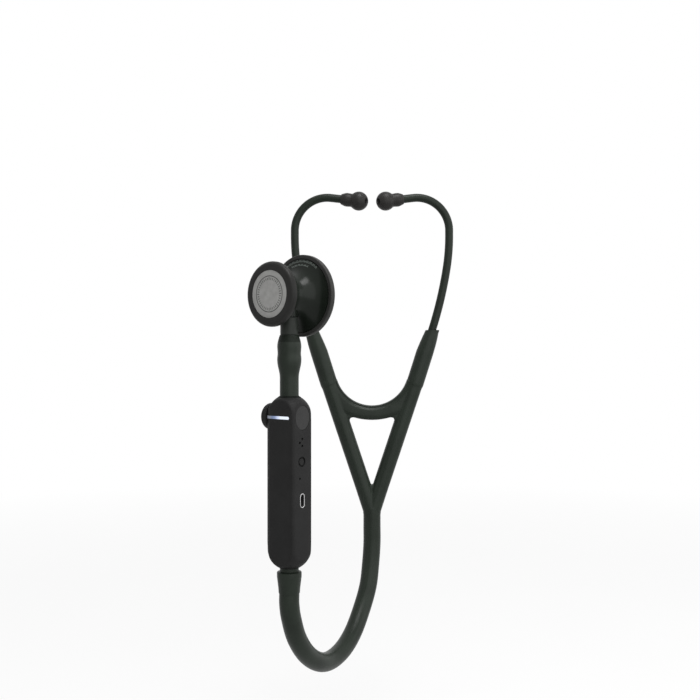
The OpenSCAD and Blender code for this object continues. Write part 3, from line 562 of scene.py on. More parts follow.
def crosspiece_form(steps=36, sides=48, power=0.6):
    """The crosspiece: oval sections between the saddle and the lower arc. Each end runs into the
    middle of a limb."""
    centre = Vector((0, EAR_REACH, SADDLE_Z + SADDLE_R))
    low = centre.z - (SADDLE_Z - CROSS_H)
    sink = low - CROSS_ARC_R
    vertices = []
    for i in range(steps + 1):
        a = math.radians(-CROSS_HALF_A + 2 * CROSS_HALF_A * i / steps)
        ray = Vector((math.sin(a), 0, -math.cos(a)))
        # From the saddle's centre along ray: to the lower arc, and to the limb's middle line.
        b = sink * math.cos(a)
        arc = b + math.sqrt(b * b - sink * sink + CROSS_ARC_R ** 2)
        outer = abs(FLEX.x * math.cos(LIMB_LEAN) + (centre.z - FLEX.z) * math.sin(LIMB_LEAN))
        limb = outer / max(abs(math.sin(a)) * math.cos(LIMB_LEAN)
                           + math.cos(a) * math.sin(LIMB_LEAN), 0.01)
        reach = min(arc, limb - 0.5)
        h = max(reach - SADDLE_R, 1.6)
        mid = centre + ray * (SADDLE_R + h / 2)
        for k in range(sides):
            t = 2 * math.pi * k / sides
            c, s = math.cos(t), math.sin(t)
            vertices.append(mid + ray * (h / 2 * math.copysign(abs(c) ** power, c))
                            + Vector((0, CROSS_HALF_T * math.copysign(abs(s) ** power, s), 0)))
    faces = rings_joined(steps + 1, sides) + end_faces(steps + 1, sides)
    return weld(make_object("crosspiece_form", vertices, faces))


def stem_form():
    meet = FLEX.z - FLEX.x / math.tan(LIMB_LEAN)
    place = Matrix.Translation((0, EAR_REACH, 0))
    r = HOSE_D / 2
    return lathe("stem_form", [(0, STEM_END - 3), (r, STEM_END - 3), (r, meet + 4), (0, meet + 12)],
                 place, 48)


def join(name, objects):
    with bpy.context.temp_override(active_object=objects[0], selected_editable_objects=objects):
        bpy.ops.object.join()
    objects[0].name = name
    return objects[0]


def remeshed(obj, voxel, passes):
    m = obj.modifiers.new("remesh", "REMESH")
    m.mode = "VOXEL"
    m.voxel_size = voxel * MM
    s = obj.modifiers.new("smooth", "SMOOTH")
    s.factor = 0.5
    s.iterations = passes
    return apply_modifiers(obj)


def cut_at(obj, place, normal, fill=True):
    """Keeps the side of a plane that its normal points away from."""
    bm = bmesh.new()
    bm.from_mesh(obj.data)
    everything = list(bm.verts) + list(bm.edges) + list(bm.faces)
    cut = bmesh.ops.bisect_plane(bm, geom=everything, plane_co=Vector(place) * MM,
                                 plane_no=normal, clear_outer=True)
    if fill:
        rim = [e for e in cut["geom_cut"] if isinstance(e, bmesh.types.BMEdge)]
        bmesh.ops.contextual_create(bm, geom=rim)
    bm.to_mesh(obj.data)
    bm.free()
    return obj


def crease(obj, depth=0.9):
    """A soft crease that follows the saddle's edge on the crosspiece's front and back."""
    for v in obj.data.vertices:
        p = v.co / MM
        x, y, z = p.x, p.y - EAR_REACH, p.z - SADDLE_Z - SADDLE_R
        if z > 0:
            continue
        rho = math.hypot(x, z) - SADDLE_R
        fall = ramp(rho, 0.7, 1.5) * (1 - ramp(rho, 1.5, 3.4))
        fall *= ramp(abs(y), 1.2, 2.6) * (1 - ramp(math.degrees(math.atan2(abs(x), -z)), 66, 84))
        v.co.y -= math.copysign(depth * fall, y) * MM
    return obj


def headset_rubber():
    """Yoke and sleeves as one skin, open where the ear tubes go in."""
    parts = [crosspiece_form(), stem_form(), *webs()]
    for side in (-1, 1):
        parts += [sleeve_form(side), limb_form(side)]
    skin = crease(remeshed(join("headset_rubber", parts), SKIN_VOXEL, SKIN_PASSES))
    cut_at(skin, (0, 0, STEM_END), (0, 0, -1))
    cut_at(skin, (0, 0, FLEX.z + SLEEVE_LENGTH * arm_way.z), (0, 0, 1))
    for side in (-1, 1):
        place = along(on_side(side, FLEX), on_side(side, arm_way))
        bore = cylinder("bore", place, EAR_BORE_R, SLEEVE_LENGTH - 3, SLEEVE_LENGTH + 4, 64)
        subtract(skin, bore)
    return skin


def half_of(skin, side, name):
    """One half of the headset's rubber, with the shading of the whole."""
    return cut_at(copied(skin, name), (0, 0, 0), (-side, 0, 0), fill=False)


skin = headset_rubber()
for side, name in ((-1, "left"), (1, "right")):
    half = smooth(half_of(skin, side, f"{name}_headset_rubber"), 60)
    finished(half, None, "tubing", rubber)
    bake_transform(half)
    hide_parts(f"{name}_socket_sleeve", "yoke", "yoke_leaf_spring")
bpy.data.objects.remove(skin)

# ---------- Ear tubes and ear tips ----------

LEG_LOWER_R = 300  # a leg turns upright on a wide bend,
LEG_UPPER_R = 150  # and on a closer one for the last LEG_UPPER_A degrees
LEG_UPPER_A = 9
LEG_RUN = 3.8
TOP_BEND_R = 23
EAR_SLOPE = 7.5  # the bend to the ear goes this far past level, in degrees
TOP_RUN = 26.9  # from there to the ear tip's inner end
TIP_LENGTH = 19.5
BALL_R = 6.7
BALL_NECK_R = 5.1  # where the ball runs into the collar
BALL_STEPS = 26
MOUTH_A = math.radians(22)  # how far the sound hole looks to the front
HOLE_R = 2.45  # faces nearer than this to the sound hole's axis are coloured black: painted shade inside the hole
EAR_TUBE_R = 2.87
forward_a = math.degrees(math.asin(EAR_REACH / (
    TOP_BEND_R * (1 + math.sin(math.radians(EAR_SLOPE)))
    + TOP_RUN * math.cos(math.radians(EAR_SLOPE)))))


def step_on(place, across, ahead, length, angle, roll):
    """One chord of a bend: rolls the frame, turns it away from across and moves on."""
    across = Matrix.Rotation(math.radians(roll), 3, ahead) @ across
    axis = ahead.cross(across)
    half = Matrix.Rotation(math.radians(-angle / 2), 3, axis)
    middle_way = half @ ahead
    return place + length * middle_way, half @ half @ across, half @ middle_way


def walk(place, across, ahead, steps):
    frames = [(place, across, ahead)]
    for length, angle, roll in steps:
        place, across, ahead = step_on(place, across, ahead, length, angle, roll)
        frames.append((place, across, ahead))
    return frames


def bend(radius, angle, count, roll=0):
    chord = 2 * radius * math.sin(math.radians(angle) / count / 2)
    return [(chord, angle / count, roll if k == 0 else 0) for k in range(count)]


def ear_frames():
    start = FLEX + arm_way * (SLEEVE_LENGTH - 4)
    across = Vector((arm_way.z, 0, -arm_way.x))
    steps = [(4.5, 0, 0)]
    steps += bend(LEG_LOWER_R, math.degrees(ARM_LEAN) - LEG_UPPER_A, 12)
    steps += bend(LEG_UPPER_R, LEG_UPPER_A, 12)
    steps += [(LEG_RUN, 0, 0)]
    steps += bend(TOP_BEND_R, 90 + EAR_SLOPE, 40, forward_a)
    steps += [(TOP_RUN - TIP_LENGTH, 0, 0), (TIP_LENGTH, 0, 0)]
    return walk(start, across, arm_way.copy(), steps)


def ear_tip(name, frame_at_ear):
    """A soft tip: a ball with a round sound hole, running into a collar on the tube."""
    place, _, ahead = frame_at_ear
    r = BALL_R
    z0 = -TIP_LENGTH
    profile = [(EAR_TUBE_R + 0.03, z0 + 0.9), (EAR_TUBE_R + 0.3, z0), (3.45, z0 + 0.05),
               (3.68, z0 + 0.35), (3.95, z0 + 1.1), (4.4, z0 + 2.3), (4.7, z0 + 3.2),
               (4.8, z0 + 4), (4.8, z0 + 5.2), (4.7, z0 + 6.2), (4.62, z0 + 7), (4.66, z0 + 7.6),
               (4.82, z0 + 8.1)]
    start = math.degrees(math.asin(BALL_NECK_R / r))
    for k in range(BALL_STEPS + 1):
        a = math.radians((180 - start) * (1 - k / BALL_STEPS))
        profile.append((r * math.sin(a), -r + r * math.cos(a)))
    tip = lathe(name, profile, along(place, ahead), 72)
    # The sound hole looks a little forward of the collar's line.
    aim = (math.cos(MOUTH_A) * ahead + Vector((0, -math.sin(MOUTH_A), 0))).normalized()
    centre = place - r * ahead
    mouth = lathe("mouth", [(0, -6), (1.5, -6), (1.9, -1.6), (2.3, -0.6), (2.75, -0.2), (3.3, 0.8),
                            (0, 0.8)], along(centre + r * aim, aim), 48)
    subtract(tip, mouth)
    # The faces inside the sound hole take the black material: painted shade.
    for face in tip.data.polygons:
        off = face.center / MM - centre
        depth = off.dot(aim)
        if (off - depth * aim).length < HOLE_R and 0 < depth < r - 0.4:
            face.material_index = 1
    return tip


right_frames = ear_frames()
tube_frames = right_frames[:-1]
right_tube = sweep("right_tube", tube_frames, [EAR_TUBE_R] * len(tube_frames), 40)
right_tip = ear_tip("right_tip", right_frames[-1])
left_tube = mirrored(right_tube, "left_tube")
left_tip = mirrored(right_tip, "left_tip")
for side, tube, tip in (("left", left_tube, left_tip), ("right", right_tube, right_tip)):
    finished(tube, f"{side}_ear", "ear_tube", tube_paint, f"{side}_ear_tube")
    finished(tip, f"{side}_ear", "ear_tip", [tip_rubber, socket_black_and_hole_shade], f"{side}_ear_tip")

# ---------- Chestpiece ----------

ADULT_RIM_D = 50.4
ADULT_DISC_D = 42
ADULT_FACE = 14.2  # from the stem's axis to the large diaphragm's face
SMALL_RIM_D = 39
SMALL_DISC_D = 29
SMALL_FACE = 17.7  # to the small rim's face
SMALL_DISC_R = 14.25
SMALL_DISC_FACE = SMALL_FACE - 0.35
DISC_T = 0.5
DISC_GAP = 0.4
FLANGE_T = 2.2
FLANGE_STEP = 1.2
RIM_WALL = 1.6
LIP_T = 1.1
HUB_R = 10
BOSS_DROP = 13.3
BOSS_R = 5.4
BOSS_BORE_R = 3.6
ADULT_BACK = ADULT_FACE - DISC_T - DISC_GAP - FLANGE_T
SMALL_BACK = SMALL_FACE - DISC_T - DISC_GAP - FLANGE_T
ADULT_FLANGE_R = ADULT_RIM_D / 2 - RIM_WALL
SMALL_FLANGE_R = SMALL_RIM_D / 2 - RIM_WALL
ADULT_SETBACK = 1.2  # the flare ends this far under the flange's back
SMALL_SETBACK = 0.3
ADULT = CHEST @ Matrix.Rotation(math.radians(180), 4, "X")
SMALL = CHEST


def rim(name, place, rim_d, disc_d, face, edge):
    """A soft rim: rounded at its edge, hooked behind the flange."""
    r = rim_d / 2
    front = face - 0.15
    back = face - DISC_T - DISC_GAP - FLANGE_T - LIP_T - 0.05
    inner = r - RIM_WALL - FLANGE_STEP
    return lathe(name, filleted([
        (disc_d / 2 - 0.3, face - 0.9), (disc_d / 2 - 0.2, front - 0.1),
        (disc_d / 2 + 0.05, front, 0.1), (r, front, edge), (r, back, 0.6),
        (inner + 0.4, back, 0.3), (inner + 0.1, back + 1.2),
    ], 8), place, 160)


def head_profile(flange_r, back, setback, steps=16):
    """One head: a quarter-round flare from the hub out to its flange, and the flange."""
    edge_r = flange_r - FLANGE_STEP
    size = edge_r - HUB_R
    profile = []
    for k in range(steps + 1):
        a = math.pi / 2 * k / steps
        profile.append((edge_r - size * math.cos(a), back - setback - size + size * math.sin(a)))
    return profile + [(edge_r, back), (flange_r, back), (flange_r, back + FLANGE_T),
                      (0, back + FLANGE_T)]


def chest_form():
    """The body's outline, from the large head's face through the hub to the small head's."""
    adult = head_profile(ADULT_FLANGE_R, ADULT_BACK, ADULT_SETBACK)
    small = head_profile(SMALL_FLANGE_R, SMALL_BACK, SMALL_SETBACK)
    profile = [(r, -z) for r, z in reversed(adult)] + small
    return lathe("chest_form", profile, CHEST, 160)


def boss_form():
    boss_end = CHEST_Z - BOSS_DROP
    return lathe("boss_form", filleted([
        (BOSS_BORE_R, boss_end + 0.4), (BOSS_BORE_R, boss_end), (BOSS_R, boss_end, 0.4),
        (BOSS_R, CHEST_Z), (0, CHEST_Z),
    ]), HEAD, 72)


chest = unite(chest_form(), boss_form())
smooth(chest, 35)
finished(chest, "chestpiece", "chest_metal", black_metal, "chest_body")

adult_rim = rim("large_rim", ADULT, ADULT_RIM_D, ADULT_DISC_D, ADULT_FACE, 1.4)
finished(adult_rim, "chestpiece", "rim", adult_rim_painted_light, "adult_rim")
small_rim = rim("bell_rim", SMALL, SMALL_RIM_D, SMALL_DISC_D, SMALL_FACE, 2.4)
finished(small_rim, "chestpiece", "rim", rim_rubber, "small_rim")


def disc(name, place, radius, face, lines):
    """A diaphragm with printed ring lines. lines are (inner, outer) radii."""
    profile = [(0, face - 0.02)]
    bands = {}
    for inner, outer in sorted(lines):
        profile.append((inner, face))
        bands[len(profile) - 1] = 1
        profile.append((outer, face))
    profile += [(radius - 0.35, face), (radius - 0.1, face - 0.08), (radius, face - 0.25),
                (radius, face - DISC_T), (0, face - DISC_T)]
    return lathe(name, profile, place, 160, bands)


small_disc = disc("small_disc", SMALL, SMALL_DISC_R, SMALL_DISC_FACE, [(10.45, 10.95)])
finished(small_disc, "chestpiece", "grey_disc", [grey_disc, disc_ink], "small_diaphragm")
large_disc = disc("large_disc", ADULT, ADULT_DISC_D / 2, ADULT_FACE, [(17.6, 17.8)])
finished(large_disc, "chestpiece", "dark_disc", [dark_disc, disc_ink], "adult_diaphragm")


def tick_ring(name, place, face, inner, outer, count, width):
    """Generic tick marks round a disc, as thin printed bars."""
    vertices, faces = [], []
    half = width / 2
    for k in range(count):
        turn = Matrix.Rotation(2 * math.pi * k / count, 4, "Z")
        reach = outer if k % 5 else outer + 0.35
        base = len(vertices)
        for z in (face + 0.01, face - 0.05):
            for x, y in ((inner, -half), (reach, -half), (reach, half), (inner, half)):
                vertices.append(place @ turn @ Vector((x, y, z)))
        faces += [tuple(base + i for i in f) for f in (
            (0, 1, 2, 3), (7, 6, 5, 4), (0, 4, 5, 1), (1, 5, 6, 2), (2, 6, 7, 3), (3, 7, 4, 0))]
    return make_object(name, vertices, faces)


ticks = tick_ring("disc_ticks", SMALL, SMALL_DISC_FACE, 8.3, 9.7, 40, 0.42)
finished(ticks, "chestpiece", "dark_disc", disc_ink)


def flare_mark(r):
    """Height of the large head's flare at radius r, in the turning frame."""
    edge_r = ADULT_FLANGE_R - FLANGE_STEP
    size = edge_r - HUB_R
    return -ADULT_BACK + ADULT_SETBACK + size - math.sqrt(size ** 2 - (edge_r - r) ** 2)


MARK_STEP = 2.6  # degrees between two marks
MARK_HALF_W = 0.13


def flare_ticks(name, rows):
    """Fine marks on the large head's back, in arcs. A row is (inner r, outer r, half angle)."""
    vertices, faces = [], []
    for inner, outer, half in rows:
        count = int(half * 2 / MARK_STEP)
        for k in range(count + 1):
            a = math.radians(90 - half + 2 * half * k / count)
            r_out = outer - (0.5 if k % 3 == 1 else 0)
            base = len(vertices)
            across = Vector((-math.sin(a), math.cos(a))) * MARK_HALF_W
            for lift in (0.03, -0.06):
                for r, sign in ((inner, -1), (r_out, -1), (r_out, 1), (inner, 1)):
                    p = Vector((r * math.cos(a), r * math.sin(a))) + sign * across
                    vertices.append(CHEST @ Vector((p.x, p.y, flare_mark(r) + lift)))
            faces += [tuple(base + i for i in f) for f in (
                (0, 3, 2, 1), (7, 4, 5, 6), (0, 1, 5, 4), (1, 2, 6, 5), (2, 3, 7, 6), (3, 0, 4, 7))]
    return weld(make_object(name, vertices, faces), 0.0005)


marks = flare_ticks("flare_marks", [(20.6, 22.0, 38), (18.4, 19.5, 20)])
finished(marks, "chestpiece", "grey_disc", mark_ink)

# ---------- Stem and neck tube ----------

NECK_R = 5.75
UPPER_BULGE = (1.4, 5.7, 7)  # height, distance of its middle under the neck's top, half length
LOWER_BULGE = (1.6, 15, 11)
BULGES_LENGTH = 26
NECK_SHADE_BAND = 4.6  # the band at the neck's top that is painted darker: painted shade cast by the chestpiece


def bulge(z, height, drop, half_length):
    u = (z - STEM_BOTTOM + drop) / half_length
    return height * (math.cos(math.pi / 2 * u) ** 2 if abs(u) < 1 else 0)


def neck_radius(z):
    return NECK_R + bulge(z, *UPPER_BULGE) + bulge(z, *LOWER_BULGE)


def neck_form(steps=60):
    profile = [(0, NECK_END), (NECK_R, NECK_END)]
    low = STEM_BOTTOM - BULGES_LENGTH
    for k in range(steps + 1):
        z = low + (STEM_BOTTOM - low) * k / steps
        profile.append((neck_radius(z), z))
    r = profile[-1][0]
    profile[-1] = (r - 0.05, STEM_BOTTOM - 0.25)
    profile += [(r - 0.3, STEM_BOTTOM - 0.02), (5.0, STEM_BOTTOM - 0.02), (0, STEM_BOTTOM - 0.02)]
    # The neck's top band takes the darker material: painted shade cast by the chestpiece.
    bands = {k: 1 for k, p in enumerate(profile) if p[1] > STEM_BOTTOM - NECK_SHADE_BAND}
    return lathe("neck", profile, HEAD, 72, bands)


finished(neck_form(), "yoke_and_module", "tubing", [rubber, painted_shade_rubber], "neck_tube")

COLLAR_R = 5.5
TAIL_R = 3.2  # the part in the neck tube
JOURNAL_R = 3.4  # the part that turns in the chestpiece
STEM_TOP = STEM_BOTTOM + 10.5
stem = lathe("stem_collar", filleted([
    (0, STEM_BOTTOM - 3), (TAIL_R, STEM_BOTTOM - 3), (TAIL_R, STEM_BOTTOM),
    (COLLAR_R, STEM_BOTTOM, 0.35), (COLLAR_R, STEM_TOP, 0.25), (JOURNAL_R, STEM_TOP),
    (JOURNAL_R, STEM_TOP + 2), (0, STEM_TOP + 2),
]), HEAD, 72)
finished(stem, "yoke_and_module", "stem_metal", stem_metal, "stem")

# ---------- Sound module ----------

HALF_W = 11.2  # from the axis to the right face
LEFT_W = 11.55  # and to the left face
HALF_D = 8.65
EDGE_R = 2
DOME_R = 13.6
DOME_TOP = MODULE_TOP - 0.55  # the dome would reach this height in its middle
BORE_R = 5.85
COVER_Y = 6.9  # the joint between the case and its rear cover
COVER_GAP = 0.12
SIDE_Y = -0.8  # the middle line of both side faces
# The corners of the softer edge between the front and the left face.
FRONT_LEFT = [(-(LEFT_W - 3.1), -HALF_D, 5), (-LEFT_W, 1.25 - HALF_D, 1)]
SCREWS_X = 6.4
SCREW_DROP = 25  # the upper screws under the module's top
SCREW_RISE = 18  # the lower screws over its bottom
STRIP_H = 1.7
STRIP_END = 7.9  # the light bar's right end
POWER_D = 14.7
POWER_SQUEEZE = 0.82  # the power button is an upright oval
KNOB_D = 16.3
KNOB_T = 4.7
PAIR_R = 2.1
VENT_Z = MODULE_TOP - 29.5
VENTS = ((0.3, 2.4), (-1.8, 0.2), (0.3, -1.8))  # the sound holes, about SIDE_Y and VENT_Z
PAIR_Z = MODULE_TOP - 40.8
RESET_Z = MODULE_TOP - 50.7
PORT_Z = MODULE_TOP - 64.1
# Lengths and heights of the port's ring and shell, of the slots in them, and of its pocket.
PORT_RING = (8.6, 3.9)
RING_SLOT = (7.85, 3.15)
PORT_SHELL = (7.8, 3.1)
SHELL_SLOT = (7.1, 2.35)
PORT_POCKET = (8.7, 4)


def box_outline(gap=1.5):
    """Points round the module's section, from the middle of the front."""
    corners = filleted([(0, -HALF_D), (HALF_W, -HALF_D, EDGE_R), (HALF_W, HALF_D, EDGE_R),
                        (-LEFT_W, HALF_D, EDGE_R), *reversed(FRONT_LEFT), (0, -HALF_D)], 8)
    points = []
    for a, b in zip(corners, corners[1:]):
        a, b = Vector(a[:2]), Vector(b[:2])
        count = max(1, round((b - a).length / gap))
        points += [a.lerp(b, k / count) for k in range(count)]
    return points


def on_dome(r, lift):
    """A point on the module's dome, lifted off it."""
    return (r, DOME_TOP - DOME_R + math.sqrt(DOME_R * DOME_R - r * r) + lift)


def soft_min(a, b, width=0.7):
    h = max(0, min(1, 0.5 + 0.5 * (b - a) / width))
    return b + (a - b) * h - width * h * (1 - h)


# A thin near-black ring on the dome round the neck's foot: painted contact shadow of the neck, not a real part.
shadow_ring = lathe("neck_painted_shadow_ring", [
    on_dome(5.3, -2.5), on_dome(7.3, -1), on_dome(7.3, 0), on_dome(7.2, 0.08), on_dome(6.8, 0.13),
    on_dome(6.4, 0.16), on_dome(6.05, 0.22), on_dome(5.9, 0.3), on_dome(5.3, 0.3),
], HEAD, 72)
finished(shadow_ring, "yoke_and_module", "tubing", painted_contact_shadow)


def module_form(steps=24):
    """The module's outer form, with its domed ends and the tube bores in them. A row is a height
    and the dome's radius there."""
    outline = box_outline()
    rows = []
    arc = math.degrees(math.acos(BORE_R / DOME_R))
    for k in range(steps + 1):
        a = math.radians(arc * (1 - k / steps))
        rows.append((DOME_TOP - DOME_R + DOME_R * math.sin(a), DOME_R * math.cos(a)))
    straight = DOME_TOP - MODULE_BOTTOM - 2 * DOME_R
    for k in range(1, steps):
        rows.append((DOME_TOP - DOME_R - straight * k / steps, None))
    for k in range(steps + 1):
        a = math.radians(arc * k / steps)
        rows.append((MODULE_BOTTOM + DOME_R - DOME_R * math.sin(a), DOME_R * math.cos(a)))
    vertices = []
    for z, reach in rows:
        for p in outline:
            r = p.length if reach is None else soft_min(p.length, reach)
            if reach is not None and reach < BORE_R + 0.001:
                r = BORE_R
            q = p.normalized() * r
            vertices.append(HEAD @ Vector((q.x, q.y, z)))
    n = len(outline)
    faces = rings_joined(len(rows), n)
    for row, way in ((0, -1), (len(rows) - 1, 1)):
        start = len(vertices)
        z = rows[row][0] + way * 10
        for p in outline:
            q = p.normalized() * BORE_R
            vertices.append(HEAD @ Vector((q.x, q.y, z)))
        for k in range(n):
            m = (k + 1) % n
            faces.append((row * n + k, row * n + m, start + m, start + k))
        faces.append(tuple(start + k for k in range(n)))
    return weld(make_object("module_form", vertices, faces), 0.004)


def side_place(side, z, y=SIDE_Y):
    """A frame on a side face, +Z out of it."""
    way = Vector((side, 0, 0))
    x = HALF_W if side > 0 else -LEFT_W
    return HEAD @ Matrix.Translation((x, y, z)) @ way.to_track_quat("Z", "Y").to_matrix().to_4x4()


def slot_prism(name, place, length, height, low, high, steps=12):
    """A bar with round ends: length along place's Y."""
    outline = []
    for end in (1, -1):
        for k in range(steps + 1):
            a = math.pi * k / steps + (0 if end > 0 else math.pi)
            outline.append((height / 2 * math.cos(a),
                            end * (length - height) / 2 + height / 2 * math.sin(a)))
    return prism(name, *([place @ Vector((x, y, z)) for x, y in outline] for z in (low, high)))


power_place = side_place(1, CONTROL_Z, SIDE_Y + 0.6) @ Matrix.Diagonal((POWER_SQUEEZE, 1, 1, 1))


def strip_form(name, height, low, high):
    """The light strip: along the front face, round its left edge, with round ends."""
    path = filleted([(STRIP_END, -HALF_D), *FRONT_LEFT, (-LEFT_W, 2.6 - HALF_D)], 8)
    path = [Vector(p[:2]) for p in path]
    line = []
    for a, b in zip(path, path[1:]):
        count = max(1, round((b - a).length / 0.3))
        line += [a.lerp(b, k / count) for k in range(count)]
    stations = []
    for a, b, c in zip(line[:1] + line, line, line[1:] + line[-1:]):
        way = (c - a).normalized()
        stations.append((b, Vector((-way.y, way.x))))
    runs = [0]
    for (a, _), (b, _) in zip(stations, stations[1:]):
        runs.append(runs[-1] + (b - a).length)
    vertices = []
    half = height / 2
    for (p, n), run in zip(stations, runs):
        near = min(run, runs[-1] - run, half)
        h = max(math.sqrt(half ** 2 - (half - near) ** 2), 0.05)
        for out, up in ((high, h), (high, -h), (low, -h), (low, h)):
            q = p + n * out
            vertices.append(HEAD @ Vector((q.x, q.y, CONTROL_Z + up)))
    faces = rings_joined(len(stations), 4) + end_faces(len(stations), 4)
    return weld(make_object(name, vertices, faces), 0.001)


def case_cutters():
    """What is cut out of the case for its controls, holes and light bar."""
    pair = side_place(1, PAIR_Z)
    cutters = [
        cylinder("power_pocket", power_place, POWER_D / 2 + 0.12, -1.6, 1, 72),
        cylinder("pairing_bore", pair, PAIR_R + 0.25, -1.6, 1),
        lathe("pairing_groove", [(0, -1), (2.95, -1), (3.1, 0.2), (0, 0.2)], pair, 48),
        cylinder("knob_bore", side_place(-1, CONTROL_Z), 2.6, -1.6, 1),
        cylinder("reset_hole", side_place(1, RESET_Z, SIDE_Y - 1.7), 0.7, -1.5, 1, 24),
    ]
    for y, z in VENTS:
        cutters.append(cylinder("vent", side_place(1, VENT_Z + z, SIDE_Y + y), 0.78, -1.5, 1, 24))
    cutters.append(strip_form("strip_slot", STRIP_H + 0.1, -0.85, 0.6))
    return cutters


def port_frame():
    """A frame on the port, +Y up and +Z out of the face."""
    x = HEAD.to_3x3() @ Vector((0, 1, 0))
    y = Vector((0, 0, 1))
    z = HEAD.to_3x3() @ Vector((1, 0, 0))
    m = Matrix((x, y, z)).transposed().to_4x4()
    return Matrix.Translation(HEAD @ Vector((HALF_W, SIDE_Y + 0.4, PORT_Z))) @ m


port_place = port_frame()
back_way = HEAD.to_3x3() @ Vector((0, 1, 0))
form = module_form()
cover = copied(form, "rear_cover")
cut_at(form, HEAD @ Vector((0, COVER_Y, 0)), back_way)
cut_at(cover, HEAD @ Vector((0, COVER_Y + COVER_GAP, 0)), -back_way)
case = subtract(form, *case_cutters(), slot_prism("port_pocket", port_place, *PORT_POCKET, -2.5, 1))
case.name = "case_front"
bevel(case, 0.18, 2, 50)
bevel(cover, 0.18, 2, 50)
for x in (-SCREWS_X, SCREWS_X):
    for z in (MODULE_TOP - SCREW_DROP, MODULE_BOTTOM + SCREW_RISE):
        at = HEAD @ Matrix.Translation((x, HALF_D, z)) @ Matrix.Rotation(math.radians(-90), 4, "X")
        subtract(cover, cylinder("screw_hole", at, 2.1, -1.2, 1, 40))
smooth(case, 30)
smooth(cover, 30)
finished(case, "yoke_and_module", "case", case_plastic, "module_case")
finished(cover, "yoke_and_module", "case", case_plastic, "module_rear_cover")

bar = smooth(strip_form("light_strip", STRIP_H, -0.75, -0.03), 30)
finished(bar, "yoke_and_module", "light", light_bar, "light_guide")

power = lathe("power_key", filleted([
    (0, -2), (POWER_D / 2, -2), (POWER_D / 2, -0.02, 0.3), (0, -0.02),
]), power_place, 96)
finished(power, "power_button", "control", control_plastic, "power_button")
pair = lathe("pairing_key", filleted([
    (0, -3.4), (PAIR_R, -3.4), (PAIR_R, -0.2, 0.3), (0, -0.2),
]), side_place(1, PAIR_Z), 48)
finished(pair, "pairing_button", "control", case_plastic, "pairing_button")
knob = lathe("knob", filleted([
    (0, -3.5), (2.5, -3.5), (2.5, 0.3), (KNOB_D / 2, 0.3, 0.4), (KNOB_D / 2, KNOB_T, 1.8),
    (KNOB_D / 2 - 3.4, KNOB_T, 0.6), (KNOB_D / 2 - 3.8, KNOB_T - 0.15), (0, KNOB_T - 0.15),
], 8), side_place(-1, CONTROL_Z), 96)
finished(knob, "volume_knob", "control", case_plastic, "volume_knob")

port_ring = slot_prism("port_ring", port_place, *PORT_RING, -0.9, 0.08)
subtract(port_ring, slot_prism("ring_slot", port_place, *RING_SLOT, -2, 1))
smooth(bevel(port_ring, 0.12, 2, 50))
finished(port_ring, "yoke_and_module", "steel", trim, "port_trim_ring")
shell = slot_prism("port_shell", port_place, *PORT_SHELL, -2.4, -0.25)
subtract(shell, slot_prism("shell_slot", port_place, *SHELL_SLOT, -2.2, 1))
smooth(shell)
finished(shell, "yoke_and_module", "steel", socket_black_and_hole_shade, "charging_socket")

# ---------- Collar ----------

collar = lathe("collar", filleted([
    (0, MODULE_BOTTOM + 3), (NECK_R, MODULE_BOTTOM + 3), (NECK_R, MODULE_BOTTOM - 0.6),
    (7.5, MODULE_BOTTOM - 1.2, 0.5), (7.5, MODULE_BOTTOM - 4, 1.2), (6.65, HOSE_TOP + 3, 2),
    (6.45, HOSE_TOP, 0.25), (6.1, HOSE_TOP), (0, HOSE_TOP),
]), HEAD, 96)
finished(collar, "yoke_and_module", "tubing", rubber, "hose_collar")

# ---------- Floor, light and background ----------


def background(nodes, links):
    """1 for what the camera, a mirror or glass sees, and 0 for the rest."""
    path = nodes.new("ShaderNodeLightPath")
    seen = nodes.new("ShaderNodeMath")
    seen.operation = "MAXIMUM"
    links.new(path.outputs["Is Camera Ray"], seen.inputs[0])
    more = nodes.new("ShaderNodeMath")
    more.operation = "MAXIMUM"
    links.new(path.outputs["Is Glossy Ray"], more.inputs[0])
    links.new(path.outputs["Is Transmission Ray"], more.inputs[1])
    links.new(more.outputs[0], seen.inputs[1])
    return seen


world = bpy.data.worlds.new("studio")
bpy.context.scene.world = world
world.use_nodes = True
wn, wl = world.node_tree.nodes, world.node_tree.links
seen = background(wn, wl)
white = wn["Background"]
white.inputs["Color"].default_value = (1, 1, 1, 1)
white.inputs["Strength"].default_value = 1
soft = wn.new("ShaderNodeBackground")
soft.inputs["Color"].default_value = (1, 1, 1, 1)
soft.inputs["Strength"].default_value = 0.33
mix = wn.new("ShaderNodeMixShader")
wl.new(seen.outputs[0], mix.inputs["Fac"])
wl.new(soft.outputs[0], mix.inputs[1])
wl.new(white.outputs[0], mix.inputs[2])
wl.new(mix.outputs[0], wn["World Output"].inputs["Surface"])


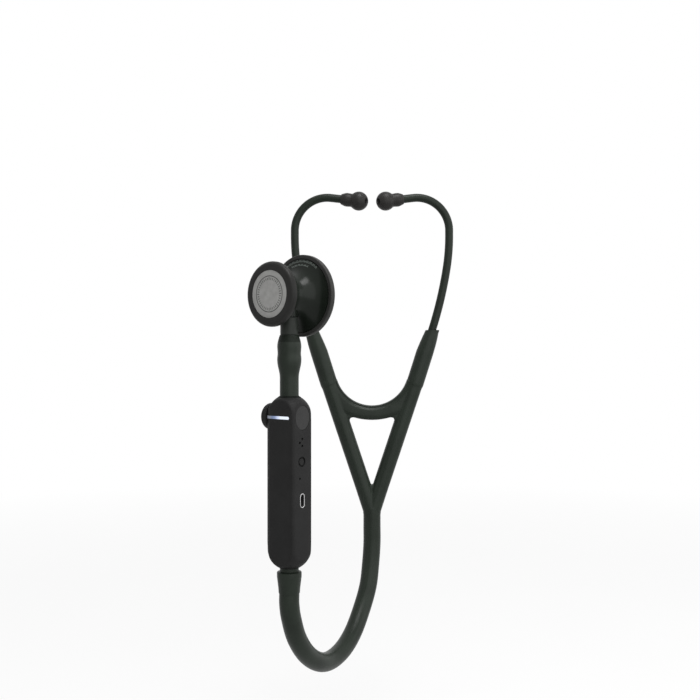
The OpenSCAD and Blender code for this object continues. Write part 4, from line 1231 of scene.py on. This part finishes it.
def area(name, place, goal, size, power):
    data = bpy.data.lights.new(name, "AREA")
    data.shape = "RECTANGLE"
    data.size, data.size_y = size
    data.energy = power
    lamp = bpy.data.objects.new(name, data)
    bpy.context.scene.collection.objects.link(lamp)
    lamp.location = place
    lamp.rotation_euler = (Vector(goal) - Vector(place)).to_track_quat("-Z", "Y").to_euler()
    return lamp


area("front_right", (0.49, -1.1, 0.25), (-0.02, -0.03, -0.1), (1.6, 1.8), 13)
area("right", (1.15, -0.2, 0.15), (-0.02, -0.03, -0.12), (0.8, 0.9), 3.6)
area("overhead", (0.1, -0.317, 0.74), (-0.043, -0.102, -0.063), (0.6, 0.42), 7.6)

FLOOR_HALF = 4000
FLOOR_DROP = 0.06  # the floor's distance under the part, in metres
floor_corners = [(-FLOOR_HALF, -FLOOR_HALF, 0), (FLOOR_HALF, -FLOOR_HALF, 0),
                 (FLOOR_HALF, FLOOR_HALF, 0), (-FLOOR_HALF, FLOOR_HALF, 0)]
floor = make_object("floor", floor_corners, [(0, 1, 2, 3)])
floor.location.z = cad_box[0][2] - FLOOR_DROP
floor_mat = material("floor_pale", "#f0f0f0", "#f6f6f6", 0.9, 300, 0, specular=0.2, patch=3)
# What the camera sees of the floor is mostly white, more so far from the object, and keeps the
# object's shadow.
fn, fl = floor_mat.node_tree.nodes, floor_mat.node_tree.links
reach = fn.new("ShaderNodeVectorMath")
reach.operation = "LENGTH"
fl.new(fn.new("ShaderNodeTexCoord").outputs["Object"], reach.inputs[0])
fade = fn.new("ShaderNodeMapRange")
for key, value in (("From Min", 0.3), ("From Max", 1.3), ("To Min", 0.8), ("To Max", 1)):
    fade.inputs[key].default_value = value
fl.new(reach.outputs["Value"], fade.inputs["Value"])
share = fn.new("ShaderNodeMath")
share.operation = "MULTIPLY"
fl.new(fade.outputs["Result"], share.inputs[0])
fl.new(background(fn, fl).outputs[0], share.inputs[1])
glow = fn.new("ShaderNodeEmission")
floor_mix = fn.new("ShaderNodeMixShader")
fl.new(share.outputs[0], floor_mix.inputs["Fac"])
fl.new(fn["Principled BSDF"].outputs[0], floor_mix.inputs[1])
fl.new(glow.outputs[0], floor_mix.inputs[2])
fl.new(floor_mix.outputs[0], fn["Material Output"].inputs["Surface"])
floor.data.materials.append(floor_mat)

bpy.context.scene.view_settings.view_transform = "Standard"
